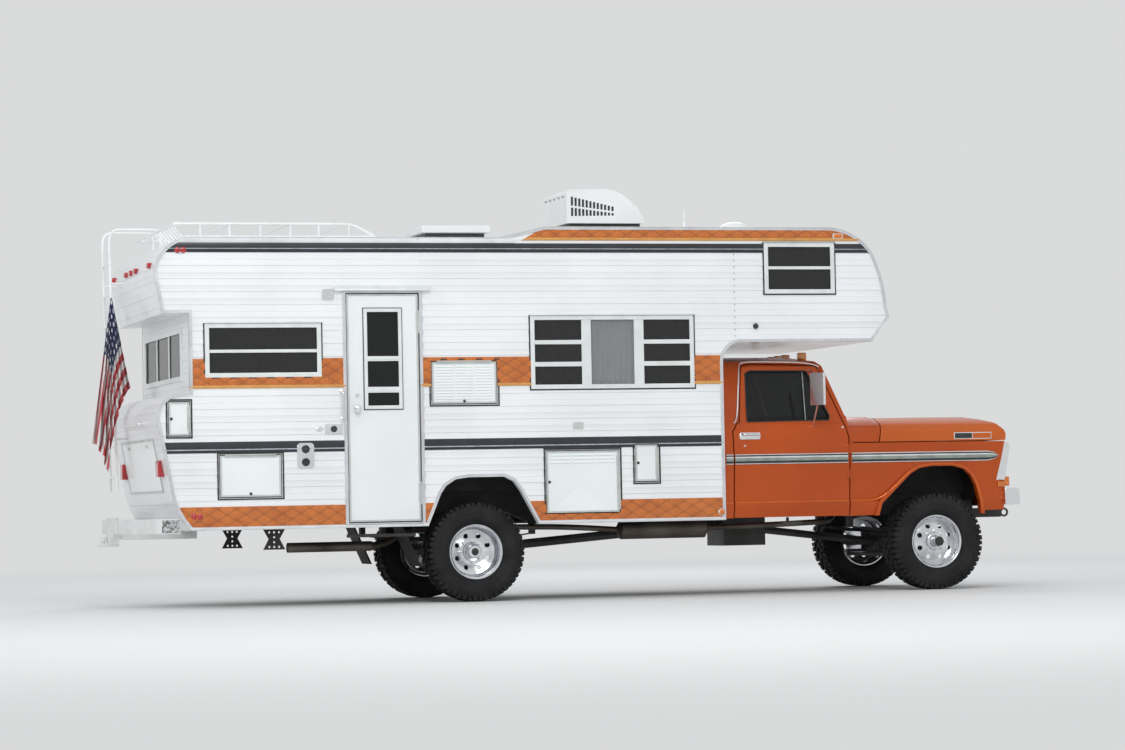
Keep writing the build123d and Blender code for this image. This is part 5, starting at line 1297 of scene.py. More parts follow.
# Crease and arch lip, from the door's gap to the arch's front foot: x, distance from the middle, height
arch_lip = [(3.276, 0.9905, 0.764), (3.430, 0.9905, 0.765), (3.500, 0.994, 0.773), (3.560, 1.006, 0.802),
            (3.678, 1.014, 0.897), (3.790, 1.014, 1.000), (3.874, 1.014, 1.046), (3.988, 1.014, 1.062),
            (4.188, 1.014, 1.060), (4.294, 1.014, 1.033), (4.360, 1.014, 0.974), (4.405, 1.014, 0.886),
            (4.443, 1.014, 0.745), (4.449, 1.012, 0.690)]
for sign, side in ((-1, "right"), (1, "left")):
    piece(f"cowl_shoulder_{side}", long_prism([(sign * y, z) for y, z in shoulder], cowl_rear_x,
                                              cowl_front_x),
          cab_orange, "truck", "cab_paint", bevel=0.001)
    # The arch lip and the crease are painted in the lighter orange, a painted highlight along them
    work = bmesh.new()
    bent_tube(work, [(x + shift_x, sign * y, z) for x, y, z in arch_lip], 0.0115)
    piece(f"arch_lip_{side}", work, painted_highlight_orange, "truck", "cab_paint")
    # Stretches of the crease: name, body, rear, front
    for stretch, body, x0, x1 in (("rear", "truck", 2.158, 2.222),
                                  ("door", f"cab_door_{side[0]}", 2.238, 3.240)):
        work = bmesh.new()
        stud(work, (x0 + shift_x, sign * 0.9905, 0.764), (x1 + shift_x, sign * 0.9905, 0.764), 0.0115, 16)
        piece(f"crease_{stretch}_{side}", work, painted_highlight_orange, body, "cab_paint", angle=50)

# Cab trim
# Bright side mouldings with a striped insert, a chrome drip rail over each door, black glazing rubber, pull handles
# with round locks, and flat chrome mirrors on tube arms.
# The cab's half width at heights above the ground
cab_widths = [(0.636, 0.972), (0.750, 0.998), (0.776, 0.986), (1.085, 1.012), (1.175, 1.010), (1.390, 0.986),
              (1.432, 0.952), (1.475, 0.925), (1.905, 0.815), (1.950, 0.770), (2.000, 0.400)]


def cab_side(z):
    """How far from the middle the cab's side is at a height."""
    for (z0, y0), (z1, y1) in zip(cab_widths, cab_widths[1:]):
        if z <= z1:
            return y0 + (y1 - y0) * (z - z0) / (z1 - z0)
    return cab_widths[-1][1]


insert_green = finish("grey green moulding insert", (0.30, 0.34, 0.30), (0.22, 0.25, 0.22), 0.4, patch=12,
                      grain=160,
                      relief=0.0002)
post_alloy = finish("dull vent post alloy", (0.30, 0.31, 0.31), (0.20, 0.21, 0.21), 0.35, metal=0.8, patch=12)
insert_white = finish("white moulding line", (0.74, 0.75, 0.74), (0.62, 0.63, 0.62), 0.35, patch=12)
# Moulding lines: name, bottom, top, how far out its face is, finish
moulding_lines = [
    ("chrome", 1.085, 1.092, 1.0205, chrome), ("black", 1.092, 1.110, 1.0165, fitting_black),
    ("green", 1.110, 1.136, 1.0175, insert_green), ("white", 1.136, 1.149, 1.0175, insert_white),
    ("dark", 1.149, 1.160, 1.0165, fitting_black), ("bright", 1.160, 1.168, 1.0205, chrome),
]
tip_start, tip_bend, tip_end, tip_z = 4.505, 4.560, 4.603, 1.127
for sign, side in ((-1, "right"), (1, "left")):
    door = f"cab_door_{side[0]}"
    # Stretches: name, body, rear, front
    for stretch, body, x0, x1 in (("rear", "truck", 2.160, 2.222), ("door", door, 2.238, 3.240),
                                  ("front", "truck", 3.276, tip_start)):
        for name, z0, z1, out, paint in moulding_lines:
            profile = [(sign * 1.006, z0), (sign * (out - 0.0015), z0), (sign * out, z0 + 0.0015),
                       (sign * out, z1 - 0.0015), (sign * (out - 0.0015), z1), (sign * 1.006, z1)]
            piece(f"moulding_{name}_{stretch}_{side}", long_prism(profile, x0 + shift_x, x1 + shift_x), paint,
                  body,
                  "bumper_chrome")
    for name, z0, z1, out, paint in moulding_lines:
        near0, near1 = (tip_z + 0.12 * (z - tip_z) for z in (z0, z1))
        bend0, bend1 = (tip_z + 0.72 * (z - tip_z) for z in (z0, z1))
        work = bmesh.new()
        boss(work, [(tip_start + shift_x, z0), (tip_bend + shift_x, bend0), (tip_end + shift_x, near0),
                    (tip_end + shift_x, near1), (tip_bend + shift_x, bend1), (tip_start + shift_x, z1)], sign,
             1.006,
             out, 0.0004)
        piece(f"moulding_{name}_tip_{side}", work, paint, "truck", "bumper_chrome")
    rail = [(2.250, 1.430), (2.284, 1.448), (2.318, 1.660), (2.352, 1.900), (2.372, 1.940), (2.440, 1.951),
            (2.740, 1.948), (3.015, 1.936), (3.070, 1.902)]
    work = bmesh.new()
    bent_tube(work, [(x + shift_x, sign * (cab_side(z) + 0.003), z) for x, z in rail], 0.0075)
    piece(f"drip_rail_{side}", work, chrome, "truck", "bumper_chrome")
    glazing = [(2.375, 1.440), (2.740, 1.444), (3.098, 1.448), (3.114, 1.480), (3.035, 1.668), (2.952, 1.858),
               (2.928, 1.868), (2.690, 1.870), (2.450, 1.872), (2.402, 1.850), (2.388, 1.645), (2.375, 1.440)]
    work = bmesh.new()
    for (x0, z0), (x1, z1) in zip(glazing, glazing[1:]):
        stud(work, (x0 + shift_x, sign * (cab_side(z0) - 0.001), z0),
             (x1 + shift_x, sign * (cab_side(z1) - 0.001), z1),
             0.0062, 8)
    piece(f"door_glazing_rubber_{side}", work, gasket_black, door, "chassis_paint")
    work = bmesh.new()
    stud(work, (2.896 + shift_x, sign * (cab_side(1.450) - 0.006), 1.450),
         (2.914 + shift_x, sign * (cab_side(1.866) - 0.006), 1.866), 0.0065, 8)
    piece(f"vent_post_{side}", work, post_alloy, door, "bumper_chrome")
    work = bmesh.new()
    boss(work, rounded(2.285 + shift_x, 2.470 + shift_x, 1.292, 1.350, 0.014), sign, 0.984, 1.0005, 0.002)
    bent_tube(work, [(2.302 + shift_x, sign * 0.998, 1.334), (2.306 + shift_x, sign * 1.024, 1.334),
                     (2.330 + shift_x, sign * 1.031, 1.333), (2.378 + shift_x, sign * 1.032, 1.331),
                     (2.428 + shift_x, sign * 1.031, 1.329), (2.450 + shift_x, sign * 1.024, 1.328),
                     (2.454 + shift_x, sign * 0.998, 1.328)], 0.0085)
    round_part(work, sign, 2.330 + shift_x, 0.996, 1.232,
               [(0.0, 0.0), (0.0, 0.015), (0.006, 0.0145), (0.008, 0.009),
                                                          (0.006, 0.0)])
    round_part(work, sign, 3.205 + shift_x, cab_side(1.385) - 0.002, 1.385,
               [(0.0, 0.0), (0.0, 0.010), (0.010, 0.009),
                                                                            (0.012, 0.0)])
    piece(f"door_handle_{side}", work, chrome, door, "bumper_chrome", angle=45)
    piece(f"mirror_{side}_chromed", plain_copy(f"mirror_{side}"), chrome, door, "mirror_chrome",
          f"mirror_{side}",
          bevel=0.003)
    # A chrome frame near the hood's front corner, with a black field and an orange one in the lighter orange of the
    # painted highlight
    trim = bmesh.new()
    boss(trim, rounded(4.209 + shift_x, 4.552 + shift_x, 1.270, 1.328, 0.006), sign, 0.980, 1.0030, 0.002)
    piece(f"hood_trim_frame_{side}", trim, chrome, "hood", "bumper_chrome", angle=40)
    for name, x0, x1, paint in (("rear", 4.216, 4.372, fitting_black), ("front", 4.378, 4.545, painted_highlight_orange)):
        field = bmesh.new()
        boss(field, rounded(x0 + shift_x, x1 + shift_x, 1.277, 1.321, 0.003), sign, 1.0000, 1.0050, 0.0008)
        piece(f"hood_trim_{name}_{side}", field, paint, "hood", "hood_paint", angle=40)
wind_frame = [(3.234, -0.72, 1.53), (3.234, 0.72, 1.53), (3.099, 0.72, 1.89), (3.099, -0.72, 1.89)]
work = bmesh.new()
for n in range(4):
    (x0, y0, z0), (x1, y1, z1) = wind_frame[n - 1], wind_frame[n]
    stud(work, (x0 + shift_x, y0, z0), (x1 + shift_x, y1, z1), 0.012, 8)
piece("windscreen_rubber", work, gasket_black, "truck", "chassis_paint")

# Grille, headlamps and front lamps
# A bright die-cast frame leans forward round five polished bars. A round sealed-beam lamp sits in each end, with a
# chrome ring, and amber lamps stand at the lower corners, on the fenders and over the windscreen.
grille_satin = finish("satin grille alloy", (0.60, 0.61, 0.62), (0.52, 0.53, 0.54), 0.28, metal=0.9, patch=5)
piece("grille_frame", share("grille", lambda low, high: high[0] - low[0] > 0.0125
                            and high[2] - low[2] > 0.0150), chrome,
      "truck", "bumper_chrome", "grille", bevel=0.003)
piece("grille_bars", share("grille", lambda low, high: high[2] - low[2] < 0.0150), grille_satin, "truck",
      "bumper_chrome", bevel=0.002)
lamp_plate_grey = finish("dark lamp plate enamel", (0.26, 0.27, 0.27), (0.21, 0.22, 0.22), 0.40, metal=0.3,
                         patch=5)
clear_lens = lens("clear lamp lens", (0.84, 0.87, 0.88))

piece("lamp_plates", share("grille", lambda low, high: high[0] - low[0] < 0.0125), lamp_plate_grey, "truck",
      "bumper_chrome", bevel=0.001)


def facing_ahead(work, place):
    """Turns a part made about the Y axis to face the front, and puts it in its place."""
    turn = Matrix.Translation(place) @ Matrix.Rotation(-math.pi / 2, 4, "Z")
    bmesh.ops.remove_doubles(work, verts=work.verts, dist=weld)
    bmesh.ops.transform(work, matrix=turn, verts=work.verts)


for y in (-0.800, 0.800):
    side = "left" if y > 0 else "right"
    place = (4.653 + shift_x, y, 1.080)
    work = bmesh.new()
    lathe(work, [(0.0, 0.0), (0.0, 0.084), (0.014, 0.084), (0.022, 0.070), (0.028, 0.045), (0.031, 0.020),
                 (0.032, 0.0)],
          40, (0, 0, 0))
    facing_ahead(work, place)
    piece(f"headlamp_{side}", work, clear_lens, "truck", "lamp_lens", *(("cab_lamps",) if y < 0 else ()),
          angle=50)
    work = bmesh.new()
    lathe(work, [(0.0, 0.082), (0.0, 0.099), (0.010, 0.098), (0.019, 0.092), (0.020, 0.085), (0.014, 0.082)],
          48,
          (0, 0, 0))
    facing_ahead(work, place)
    piece(f"headlamp_ring_{side}", work, chrome, "truck", "bumper_chrome", angle=50)
    work = bmesh.new()
    y0, y1 = sorted((y / 0.8 * 0.885, y / 0.8 * 0.985))
    add_box(work, 4.655 + shift_x, 4.716 + shift_x, y0, y1, 0.866, 0.946)
    piece(f"turn_lamp_{side}", work, amber_lens, "truck", "lamp_lens", bevel=0.010)
pale_amber = lens("pale amber lens", (0.95, 0.40, 0.08))
piece("roof_lamps", share("cab_lamps", lambda low, high: low[2] > 1.85), pale_amber, "truck", "lamp_lens",
      bevel=0.010)
piece("side_marker_lamps", share("cab_lamps", lambda low, high: high[2] < 0.95), amber_lens, "truck",
      "lamp_lens",
      bevel=0.002)

# Radiator, its support and the front valance
# A black finned core hangs in a pressed black panel behind the grille, and an orange valance closes the gap
# between the grille and the bumper.
core_x, panel_x, valance_x = 4.470 + shift_x, 4.508 + shift_x, 4.618 + shift_x
core_half, core_low, core_high = 0.340, 0.800, 1.245
work = bmesh.new()
add_box(work, core_x - 0.030, core_x + 0.012, -core_half, core_half, core_low, core_low + 0.040)
add_box(work, core_x - 0.030, core_x + 0.012, -core_half, core_half, core_high - 0.040, core_high)
tubes = 34
for n in range(tubes + 1):
    y = -core_half + 2 * core_half * n / tubes
    add_box(work, core_x - 0.022, core_x + 0.004, y - 0.0035, y + 0.0035, core_low + 0.040, core_high - 0.040)
add_box(work, core_x - 0.014, core_x - 0.010, -core_half, core_half, core_low + 0.030, core_high - 0.030)
piece("radiator_core", work, fitting_black, "truck", "chassis_paint")
work = bmesh.new()
panel_half, panel_low, panel_high = 0.690, 0.755, 1.252
for y0, y1, z0, z1 in ((-panel_half, panel_half, panel_low, core_low + 0.020),
                       (-panel_half, panel_half, core_high - 0.020, panel_high),
                       (-panel_half, -core_half + 0.020, core_low + 0.020, core_high - 0.020),
                       (core_half - 0.020, panel_half, core_low + 0.020, core_high - 0.020)):
    add_box(work, panel_x - 0.004, panel_x, y0, y1, z0, z1)
piece("radiator_support", work, under_black, "truck", "chassis_paint", bevel=0.001)
valance = [(valance_x - 0.004, 0.700), (valance_x, 0.700), (valance_x + 0.010, 0.760),
           (valance_x + 0.004, 0.865),
           (valance_x - 0.020, 0.905), (valance_x - 0.024, 0.903), (valance_x, 0.863),
           (valance_x + 0.006, 0.760)]
work = bmesh.new()
ends = [[work.verts.new((x, y, z)) for x, z in valance] for y in (-0.930, 0.930)]
for n in range(len(valance)):
    work.faces.new((ends[0][n - 1], ends[0][n], ends[1][n], ends[1][n - 1]))
for end in ends:
    work.faces.new(end)
piece("front_valance", work, cab_orange, "truck", "cab_paint", bevel=0.001)

# Wipers
# Two arms of pressed black steel with rubber blades, parked low on the windscreen. Each arm is pinned to a
# round post in the cowl.
work = bmesh.new()
for pivot, reach_y in ((-0.300, -0.690), (0.230, -0.150)):
    foot = Vector((3.262 + shift_x, pivot, 1.492))
    knee = Vector((3.241 + shift_x, pivot * 0.4 + reach_y * 0.6, 1.552))
    stud(work, foot - Vector((0.0, 0.0, 0.012)), foot + Vector((0.004, 0.0, 0.010)), 0.011, 12)
    stud(work, foot, knee, 0.0042, 8)
    stud(work, (3.239 + shift_x, pivot * 0.85 + reach_y * 0.15, 1.545), (3.232 + shift_x, reach_y, 1.562),
         0.0050, 8)
piece("wipers", work, fitting_black, "truck", "chassis_paint", angle=40)

# Front bumper
# One pressed bar in chrome plate, bolted to two black irons. Black tow hooks are bolted to the frame below it.
# The irons and hooks are forged steel.
piece("front_bumper_bar", share("front_bumper", lambda low, high: high[1] - low[1] > 1.0), chrome, "truck",
      "bumper_chrome", "front_bumper", bevel=0.004)
piece("bumper_irons", share("front_bumper", lambda low, high: high[1] - low[1] < 1.0), frame_black, "truck",
      "chassis_paint", bevel=0.002)

# Cab inside
# A bench in dark vinyl, stuffed and sewn in channels, on a boxed base. A padded dashboard, and a thin steering
# wheel of moulded plastic with two spokes.
dash_black = finish("grained dash vinyl", (0.045, 0.042, 0.040), (0.025, 0.024, 0.023), 0.55, grain=240,
                    relief=0.0005)
piece("dashboard_padded", plain_copy("dashboard"), dash_black, "truck", "dash_plastic", "dashboard",
      bevel=0.010)
wheel_low, wheel_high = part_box("steering_wheel")
wheel_middle = [(wheel_low[axis] + wheel_high[axis]) / 2 for axis in range(3)]
tilt = Vector((0, 1, 0)).rotation_difference(Vector((-180, 0, 80)).normalized()).to_matrix().to_4x4()
work = bmesh.new()
rim = [(0.009 * math.cos(2 * math.pi * n / 10), 0.194 + 0.009 * math.sin(2 * math.pi * n / 10))
       for n in range(10)]
lathe(work, rim, 64, (0, 0, 0))
lathe(work, [(-0.011, 0.0), (-0.011, 0.042), (0.004, 0.040), (0.010, 0.028), (0.011, 0.0)], 32, (0, 0, 0))
bmesh.ops.remove_doubles(work, verts=work.verts, dist=weld)
add_box(work, -0.187, -0.036, -0.005, 0.005, -0.012, 0.012)
add_box(work, 0.036, 0.187, -0.005, 0.005, -0.012, 0.012)
bmesh.ops.transform(work, matrix=Matrix.Translation(wheel_middle) @ tilt @ Matrix.Rotation(math.pi / 2, 4,
                                                                                           "Y"),
                    verts=work.verts)
piece("steering_wheel_rim", work, dash_black, "steering", "dash_plastic", "steering_wheel", angle=45)


def stuffed(name, outline, y0, y1, cap):
    work = bmesh.new()
    ends = [[work.verts.new((x, y, z)) for x, z in outline] for y in (y0, y1)]
    for n in range(len(outline)):
        work.faces.new((ends[0][n - 1], ends[0][n], ends[1][n], ends[1][n - 1]))
    work.faces.new(list(reversed(ends[0])))
    work.faces.new(ends[1])
    bmesh.ops.recalc_face_normals(work, faces=work.faces)
    mesh = bpy.data.meshes.new(name)
    work.to_mesh(mesh)
    work.free()
    holder = bpy.data.objects.new(name, mesh)
    bpy.context.scene.collection.objects.link(holder)
    grain = holder.modifiers.new("voxels", "REMESH")
    grain.mode = "VOXEL"
    grain.voxel_size = 0.014
    bpy.context.view_layer.update()
    shaped = bpy.data.meshes.new_from_object(holder.evaluated_get(bpy.context.evaluated_depsgraph_get()))
    holder.modifiers.clear()
    holder.data = shaped
    before = [vertex.co.copy() for vertex in shaped.vertices]
    cloth = holder.modifiers.new("stuffing", "CLOTH")
    cloth.settings.use_pressure = True
    cloth.settings.uniform_pressure_force = 4.0
    cloth.settings.effector_weights.gravity = 0.0
    for step in range(1, 21):
        bpy.context.scene.frame_set(step)
    shaped = bpy.data.meshes.new_from_object(holder.evaluated_get(bpy.context.evaluated_depsgraph_get()))
    holder.modifiers.clear()
    bpy.context.scene.frame_set(1)
    for vertex, start in zip(shaped.vertices, before):
        moved = vertex.co - start
        if moved.length > cap:
            vertex.co = start + moved.normalized() * cap
    bpy.data.objects.remove(holder)
    return shaped


def channelled(mesh, pitch, depth, upward):
    """Presses sewn channels into the faces of a cushion that point one way."""
    for vertex in mesh.vertices:
        facing = vertex.normal.dot(upward)
        if facing > 0.5:
            groove = abs(math.sin(math.pi * vertex.co.y / pitch))
            vertex.co -= upward * depth * (1 - groove ** 0.5)
    return mesh


seat_vinyl = finish("ribbed seat vinyl", (0.060, 0.055, 0.050), (0.034, 0.031, 0.029), 0.42, grain=260,
                    relief=0.0004)
seat_outline = [(2.470, 0.985), (2.812, 0.990), (2.826, 1.112), (2.480, 1.096)]
back_outline = [(2.362, 1.130), (2.440, 1.136), (2.352, 1.546), (2.272, 1.546)]
# Cushions: name, outline, which way its seams face, what it stands for
for name, outline, facing, stands_for in (("seat_cushion", seat_outline, Vector((0, 0, 1)), ("bench_seat",)),
                                          ("back_cushion", back_outline, Vector((0.98, 0, 0.2)), ())):
    outline = [(x + shift_x, z) for x, z in outline]
    mesh = channelled(stuffed(name, outline, -0.665, 0.665, 0.012), 0.090, 0.006, facing)
    cushion = piece(name, mesh, seat_vinyl, "truck", "seat_vinyl", *stands_for)
    smoother = cushion.modifiers.new("smooth", "SUBSURF")
    smoother.levels = smoother.render_levels = 1
work = bmesh.new()
add_box(work, 2.310 + shift_x, 2.800 + shift_x, -0.660, 0.660, 0.876, 0.976)
piece("seat_base", work, dash_black, "truck", "seat_vinyl", bevel=0.012)


# Roof gear
# A white moulded air conditioner with two rows of louvres down each side, a lift-up roof vent, a round
# mushroom vent and a short stepped vent pipe.
def standing(work, place):
    """Turns a part made about the Y axis to stand upright, and puts it in its place."""
    turn = Matrix.Translation(place) @ Matrix.Rotation(math.pi / 2, 4, "X")
    bmesh.ops.remove_doubles(work, verts=work.verts, dist=weld)
    bmesh.ops.transform(work, matrix=turn, verts=work.verts)


gear_white = finish("weathered white gear plastic", (0.90, 0.91, 0.91), (0.84, 0.85, 0.84), 0.38, coat=0.2,
                    patch=3.5,
                    grain=60, relief=0.0004)
shroud_base, ac_half, slot_depth = 3.150, 0.380, 0.016
keep = bmesh.new()
add_box(keep, 0.98 + shift_x, 1.72 + shift_x, -0.5, 0.5, shroud_base, 3.50)
shroud = carve(plain_copy("air_conditioner"), keep, "INTERSECT")
slots = bmesh.new()
for column in range(13):
    x = 1.0385 + column * 0.0324 + shift_x
    fall = column / 12
    for top, bottom in ((3.374 - 0.089 * fall, 3.299 - 0.050 * fall),
                        (3.282 - 0.049 * fall, 3.210 + 0.006 * fall)):
        if top < 3.29 and column == 12:
            continue
        for sign in (-1, 1):
            y0, y1 = sorted((sign * (ac_half - slot_depth), sign * (ac_half + 0.01)))
            add_box(slots, x, x + 0.0215, y0, y1, bottom, top)
for n in range(5):
    y = -0.26 + n * 0.13
    add_box(slots, 0.99 + shift_x, 1.028 + shift_x, y - 0.045, y + 0.045, 3.372, 3.392)
shroud = piece("air_conditioner_shroud", carve(shroud, slots), gear_white, "truck", "white_paint",
               "air_conditioner",
               bevel=0.005, angle=30)
# The floors of the louvre slots are black: partly a dark grille inside them, partly painted shade in the openings
blackened(shroud, fitting_black, lambda place,
          normal: ac_half - slot_depth - 0.001 < abs(place.y) < ac_half - slot_depth
          + 0.001)
# A black block set in under the shroud stands for the dark gap there: partly its gasket, partly painted shade
work = bmesh.new()
add_box(work, 1.030 + shift_x, 1.655 + shift_x, -0.350, 0.350, 3.058, shroud_base + 0.001)
piece("air_conditioner_base", work, fitting_black, "truck", "fitting_black", bevel=0.004)
lid = share("roof_vents", lambda low, high: high[0] < 0.5 + shift_x)
lid = piece("roof_vent_lid", lid, gear_white, "truck", "white_paint", "roof_vents", bevel=0.008)
blackened(lid, fitting_black, lambda place, normal: place.z < 3.060)
work = bmesh.new()
lathe(work, [(0.0, 0.0), (0.0, 0.143), (0.012, 0.142), (0.016, 0.100), (0.050, 0.090), (0.056, 0.128),
             (0.066, 0.132),
             (0.094, 0.110), (0.112, 0.060), (0.118, 0.0)], 40, (0, 0, 0))
standing(work, (2.550 + shift_x, -0.200, 3.060))
piece("mushroom_vent", work, gear_white, "truck", "white_paint", angle=40)
work = bmesh.new()
lathe(work, [(0.0, 0.0), (0.0, 0.026), (0.006, 0.024), (0.012, 0.0155), (0.098, 0.0145), (0.110, 0.0078),
             (0.204, 0.0070),
             (0.208, 0.0)], 24, (0, 0, 0))
standing(work, (2.050 + shift_x, -0.350, 3.060))
piece("roof_vent_pipe", work, gear_white, "truck", "white_paint", angle=40)

# Luggage rack and ladder
# White enamelled steel tube, bent and welded. The rack stands on the rear roof, with a low fence at its back,
# and the ladder climbs the rear wall and hooks over the roof's edge.
tube_white = finish("white enamelled tube", (0.92, 0.93, 0.93), (0.84, 0.84, 0.83), 0.30, coat=0.4, patch=9.0)
rack_z, roof_z = 3.088, 2.970
work = bmesh.new()
for y in (-0.950, 0.950):
    bent_tube(work, [(x + shift_x, y, z) for x, z in (
        (-2.455, rack_z), (-2.000, rack_z), (-1.500, rack_z), (-1.060, rack_z), (-1.002, rack_z - 0.004),
        (-0.940, 3.062), (-0.805, 2.992))], 0.0125)
    stud(work, (-2.360 + shift_x, y, roof_z + 0.013), (-0.790 + shift_x, y, roof_z + 0.013), 0.011, 12)
    for x in (-2.232, -1.994, -1.741, -1.494, -1.261, -1.010):
        stud(work, (x + shift_x, y, roof_z), (x + shift_x, y, rack_z), 0.0085, 10)
        stud(work, (x + shift_x, y, roof_z - 0.001), (x + shift_x, y, roof_z + 0.004), 0.024, 12)
for x in (-2.440, -1.980, -1.500, -1.040):
    stud(work, (x + shift_x, -0.950, rack_z), (x + shift_x, 0.950, rack_z), 0.0105, 12)
for n in range(8):
    y = -0.823 + n * 0.127
    stud(work, (-2.440 + shift_x, y, rack_z), (-2.340 + shift_x, y, roof_z - 0.002), 0.007, 8)
piece("roof_rack", work, tube_white, "truck", "rack_aluminium", "luggage_rack", angle=40)
stile_line = [(-2.705, 0.960), (-2.724, 1.960), (-2.743, 2.950), (-2.745, 3.050), (-2.735, 3.115),
              (-2.700, 3.150),
              (-2.630, 3.153), (-2.490, 3.153), (-2.350, 3.152), (-2.315, 3.148), (-2.310, 3.110),
              (-2.310, 2.962)]
ladder_sides = (0.480, 0.850)
work = bmesh.new()
for y in ladder_sides:
    bent_tube(work, [(x + shift_x, y, z) for x, z in stile_line], 0.0122)
    stud(work, (-2.713 + shift_x, y, 1.400), (-2.606 + shift_x, y, 1.400), 0.0085, 10)
    stud(work, (-2.738 + shift_x, y, 2.700), (-2.640 + shift_x, y, 2.700), 0.0085, 10)
    stud(work, (-2.310 + shift_x, y, 2.968), (-2.310 + shift_x, y, 2.975), 0.030, 16)
for step in range(8):
    z = 1.078 + step * 0.255
    x = -2.705 - 0.040 * (z - 0.960) / 2.1 + shift_x
    stud(work, (x, ladder_sides[0], z), (x, ladder_sides[1], z), 0.0105, 12)
piece("rear_ladder", work, tube_white, "truck", "rack_aluminium", "ladder", angle=40)

# Flag
# A printed cotton flag of stripes and dots, hemmed and tied to the ladder by one corner, so that it hangs
# slantwise down the ladder's side in close folds.
fly, hoist = 1.25, 0.80
tie = Vector((-2.741 + shift_x, 0.446, 2.600))
folds, rays = 8, 900


def hanging_rays(spread):
    """Straight lines down from the tied corner, in zigzag folds, with the angle that each adds to the one before."""
    lines = []
    for n in range(rays + 1):
        t = n / rays
        fold = math.sin(2 * math.pi * folds * t + 0.7 * math.sin(5.0 * t) + 0.4 * math.sin(11.0 * t))
        across_x = -0.150 + 0.320 * t + 0.012 * math.sin(9.0 * t)
        lines.append(Vector((across_x, -1.15 * spread + spread * fold * (0.8 + 0.2 * math.cos(7.0 * t)),
                             -1.0)).normalized())
    return lines, [0.0] + [lines[n].angle(lines[n + 1]) for n in range(rays)]


least, most = 0.01, 0.20
for halving in range(30):
    spread = (least + most) / 2
    lines, turns = hanging_rays(spread)
    if sum(turns) > math.pi / 2:
        most = spread
    else:
        least = spread
reached = [0.0]
for turn in turns[1:]:
    reached.append(reached[-1] + turn)


def hang(along_fly, along_hoist):
    """Where a point of the flat cloth hangs: as far from the tied corner, on the line at the same angle."""
    angle = math.atan2(along_hoist, along_fly) * reached[-1] / (math.pi / 2)
    n = min(rays - 1, max(0, bisect.bisect_right(reached, angle) - 1))
    part = (angle - reached[n]) / (reached[n + 1] - reached[n])
    return tie + lines[n].lerp(lines[n + 1], part).normalized() * math.hypot(along_fly, along_hoist)


columns, rows = 150, 104
grid = [[hang(fly * i / columns, hoist * j / rows) for i in range(columns + 1)] for j in range(rows + 1)]
flag_mesh = bpy.data.meshes.new("flag")
flag_mesh.from_pydata([point for line in grid for point in line], [],
                      [(j * (columns + 1) + i, j * (columns + 1) + i + 1, (j + 1) * (columns + 1) + i + 1,
                        (j + 1) * (columns + 1) + i) for j in range(rows) for i in range(columns)])
across = flag_mesh.uv_layers.new(name="cloth")
for loop in flag_mesh.loops:
    j, i = divmod(loop.vertex_index, columns + 1)
    across.data[loop.index].uv = (i / columns, j / rows)
flag_cloth = woven("printed flag cotton", (0.70, 0.70, 0.70), (0.60, 0.60, 0.60), 200)
nodes, links = flag_cloth.node_tree.nodes, flag_cloth.node_tree.links
cloth_place = nodes.new("ShaderNodeUVMap")
cloth_place.uv_map = "cloth"
shares = nodes.new("ShaderNodeSeparateXYZ")
links.new(cloth_place.outputs["UV"], shares.inputs["Vector"])


def step_node(operation, value, source):
    """One arithmetic step on a cloth coordinate."""
    node = nodes.new("ShaderNodeMath")
    node.operation = operation
    node.inputs[1].default_value = value
    links.new(source, node.inputs[0])
    return node.outputs[0]


def mixed(share_out, first, second):
    """One of two colours, picked by a share of 0 or 1."""
    node = nodes.new("ShaderNodeMix")
    node.data_type = "RGBA"
    links.new(share_out, node.inputs["Factor"])
    for name, colour in (("A", first), ("B", second)):
        socket = [item for item in node.inputs if item.name == name and item.type == "RGBA"][0]
        if isinstance(colour, tuple):
            socket.default_value = (*colour, 1)
        else:
            links.new(colour, socket)
    return [item for item in node.outputs if item.type == "RGBA"][0]


def fraction(source, parts):
    """The share within each of a number of equal parts."""
    return step_node("FRACT", 0.0, step_node("MULTIPLY", parts, source))


# Thirteen stripes along the fly, and a field of pale dots next to the tied corner
stripe_share = step_node("GREATER_THAN", 0.5, fraction(shares.outputs["Y"], 6.5))
stripes = mixed(stripe_share, (0.50, 0.020, 0.030), (0.80, 0.79, 0.77))
across_dots = step_node("SUBTRACT", 0.5, fraction(shares.outputs["X"], 15.0))
along_dots = step_node("SUBTRACT", 0.5, fraction(shares.outputs["Y"], 9.5))
apart = nodes.new("ShaderNodeMath")
apart.operation = "ADD"
links.new(step_node("POWER", 2.0, step_node("ABSOLUTE", 0.0, across_dots)), apart.inputs[0])
links.new(step_node("POWER", 2.0, step_node("ABSOLUTE", 0.0, along_dots)), apart.inputs[1])
dots = mixed(step_node("LESS_THAN", 0.060, apart.outputs[0]), (0.018, 0.028, 0.110), (0.80, 0.80, 0.80))
in_field = nodes.new("ShaderNodeMath")
in_field.operation = "MULTIPLY"
links.new(step_node("LESS_THAN", 0.40, shares.outputs["X"]), in_field.inputs[0])
links.new(step_node("LESS_THAN", 7 / 13, shares.outputs["Y"]), in_field.inputs[1])
field = mixed(in_field.outputs[0], stripes, dots)
links.new(field, nodes["Principled BSDF"].inputs["Base Color"])
flag = piece("hung_flag", flag_mesh, flag_cloth, "truck", "flag_cloth", "flag", angle=180)
cloth_thickness = flag.modifiers.new("cloth thickness", "SOLIDIFY")
cloth_thickness.thickness = 0.0009
work = bmesh.new()
stud(work, (tie.x, tie.y - 0.004, tie.z - 0.010), (tie.x, 0.482, tie.z - 0.010), 0.013, 12)
piece("flag_ties", work, tube_white, "truck", "flag_cloth", angle=40)


# Rear details
# A fixed panel door in the slanted lower wall, with a bright frame and two latches, a white grab bar above it,
# and the step bumper on its brackets with the tow ball below.
def on_rear(z):
    """Where the slanted lower part of the rear wall is at a height."""
    return -2.638 + (1.520 - z) / 0.602 * 0.111 + shift_x


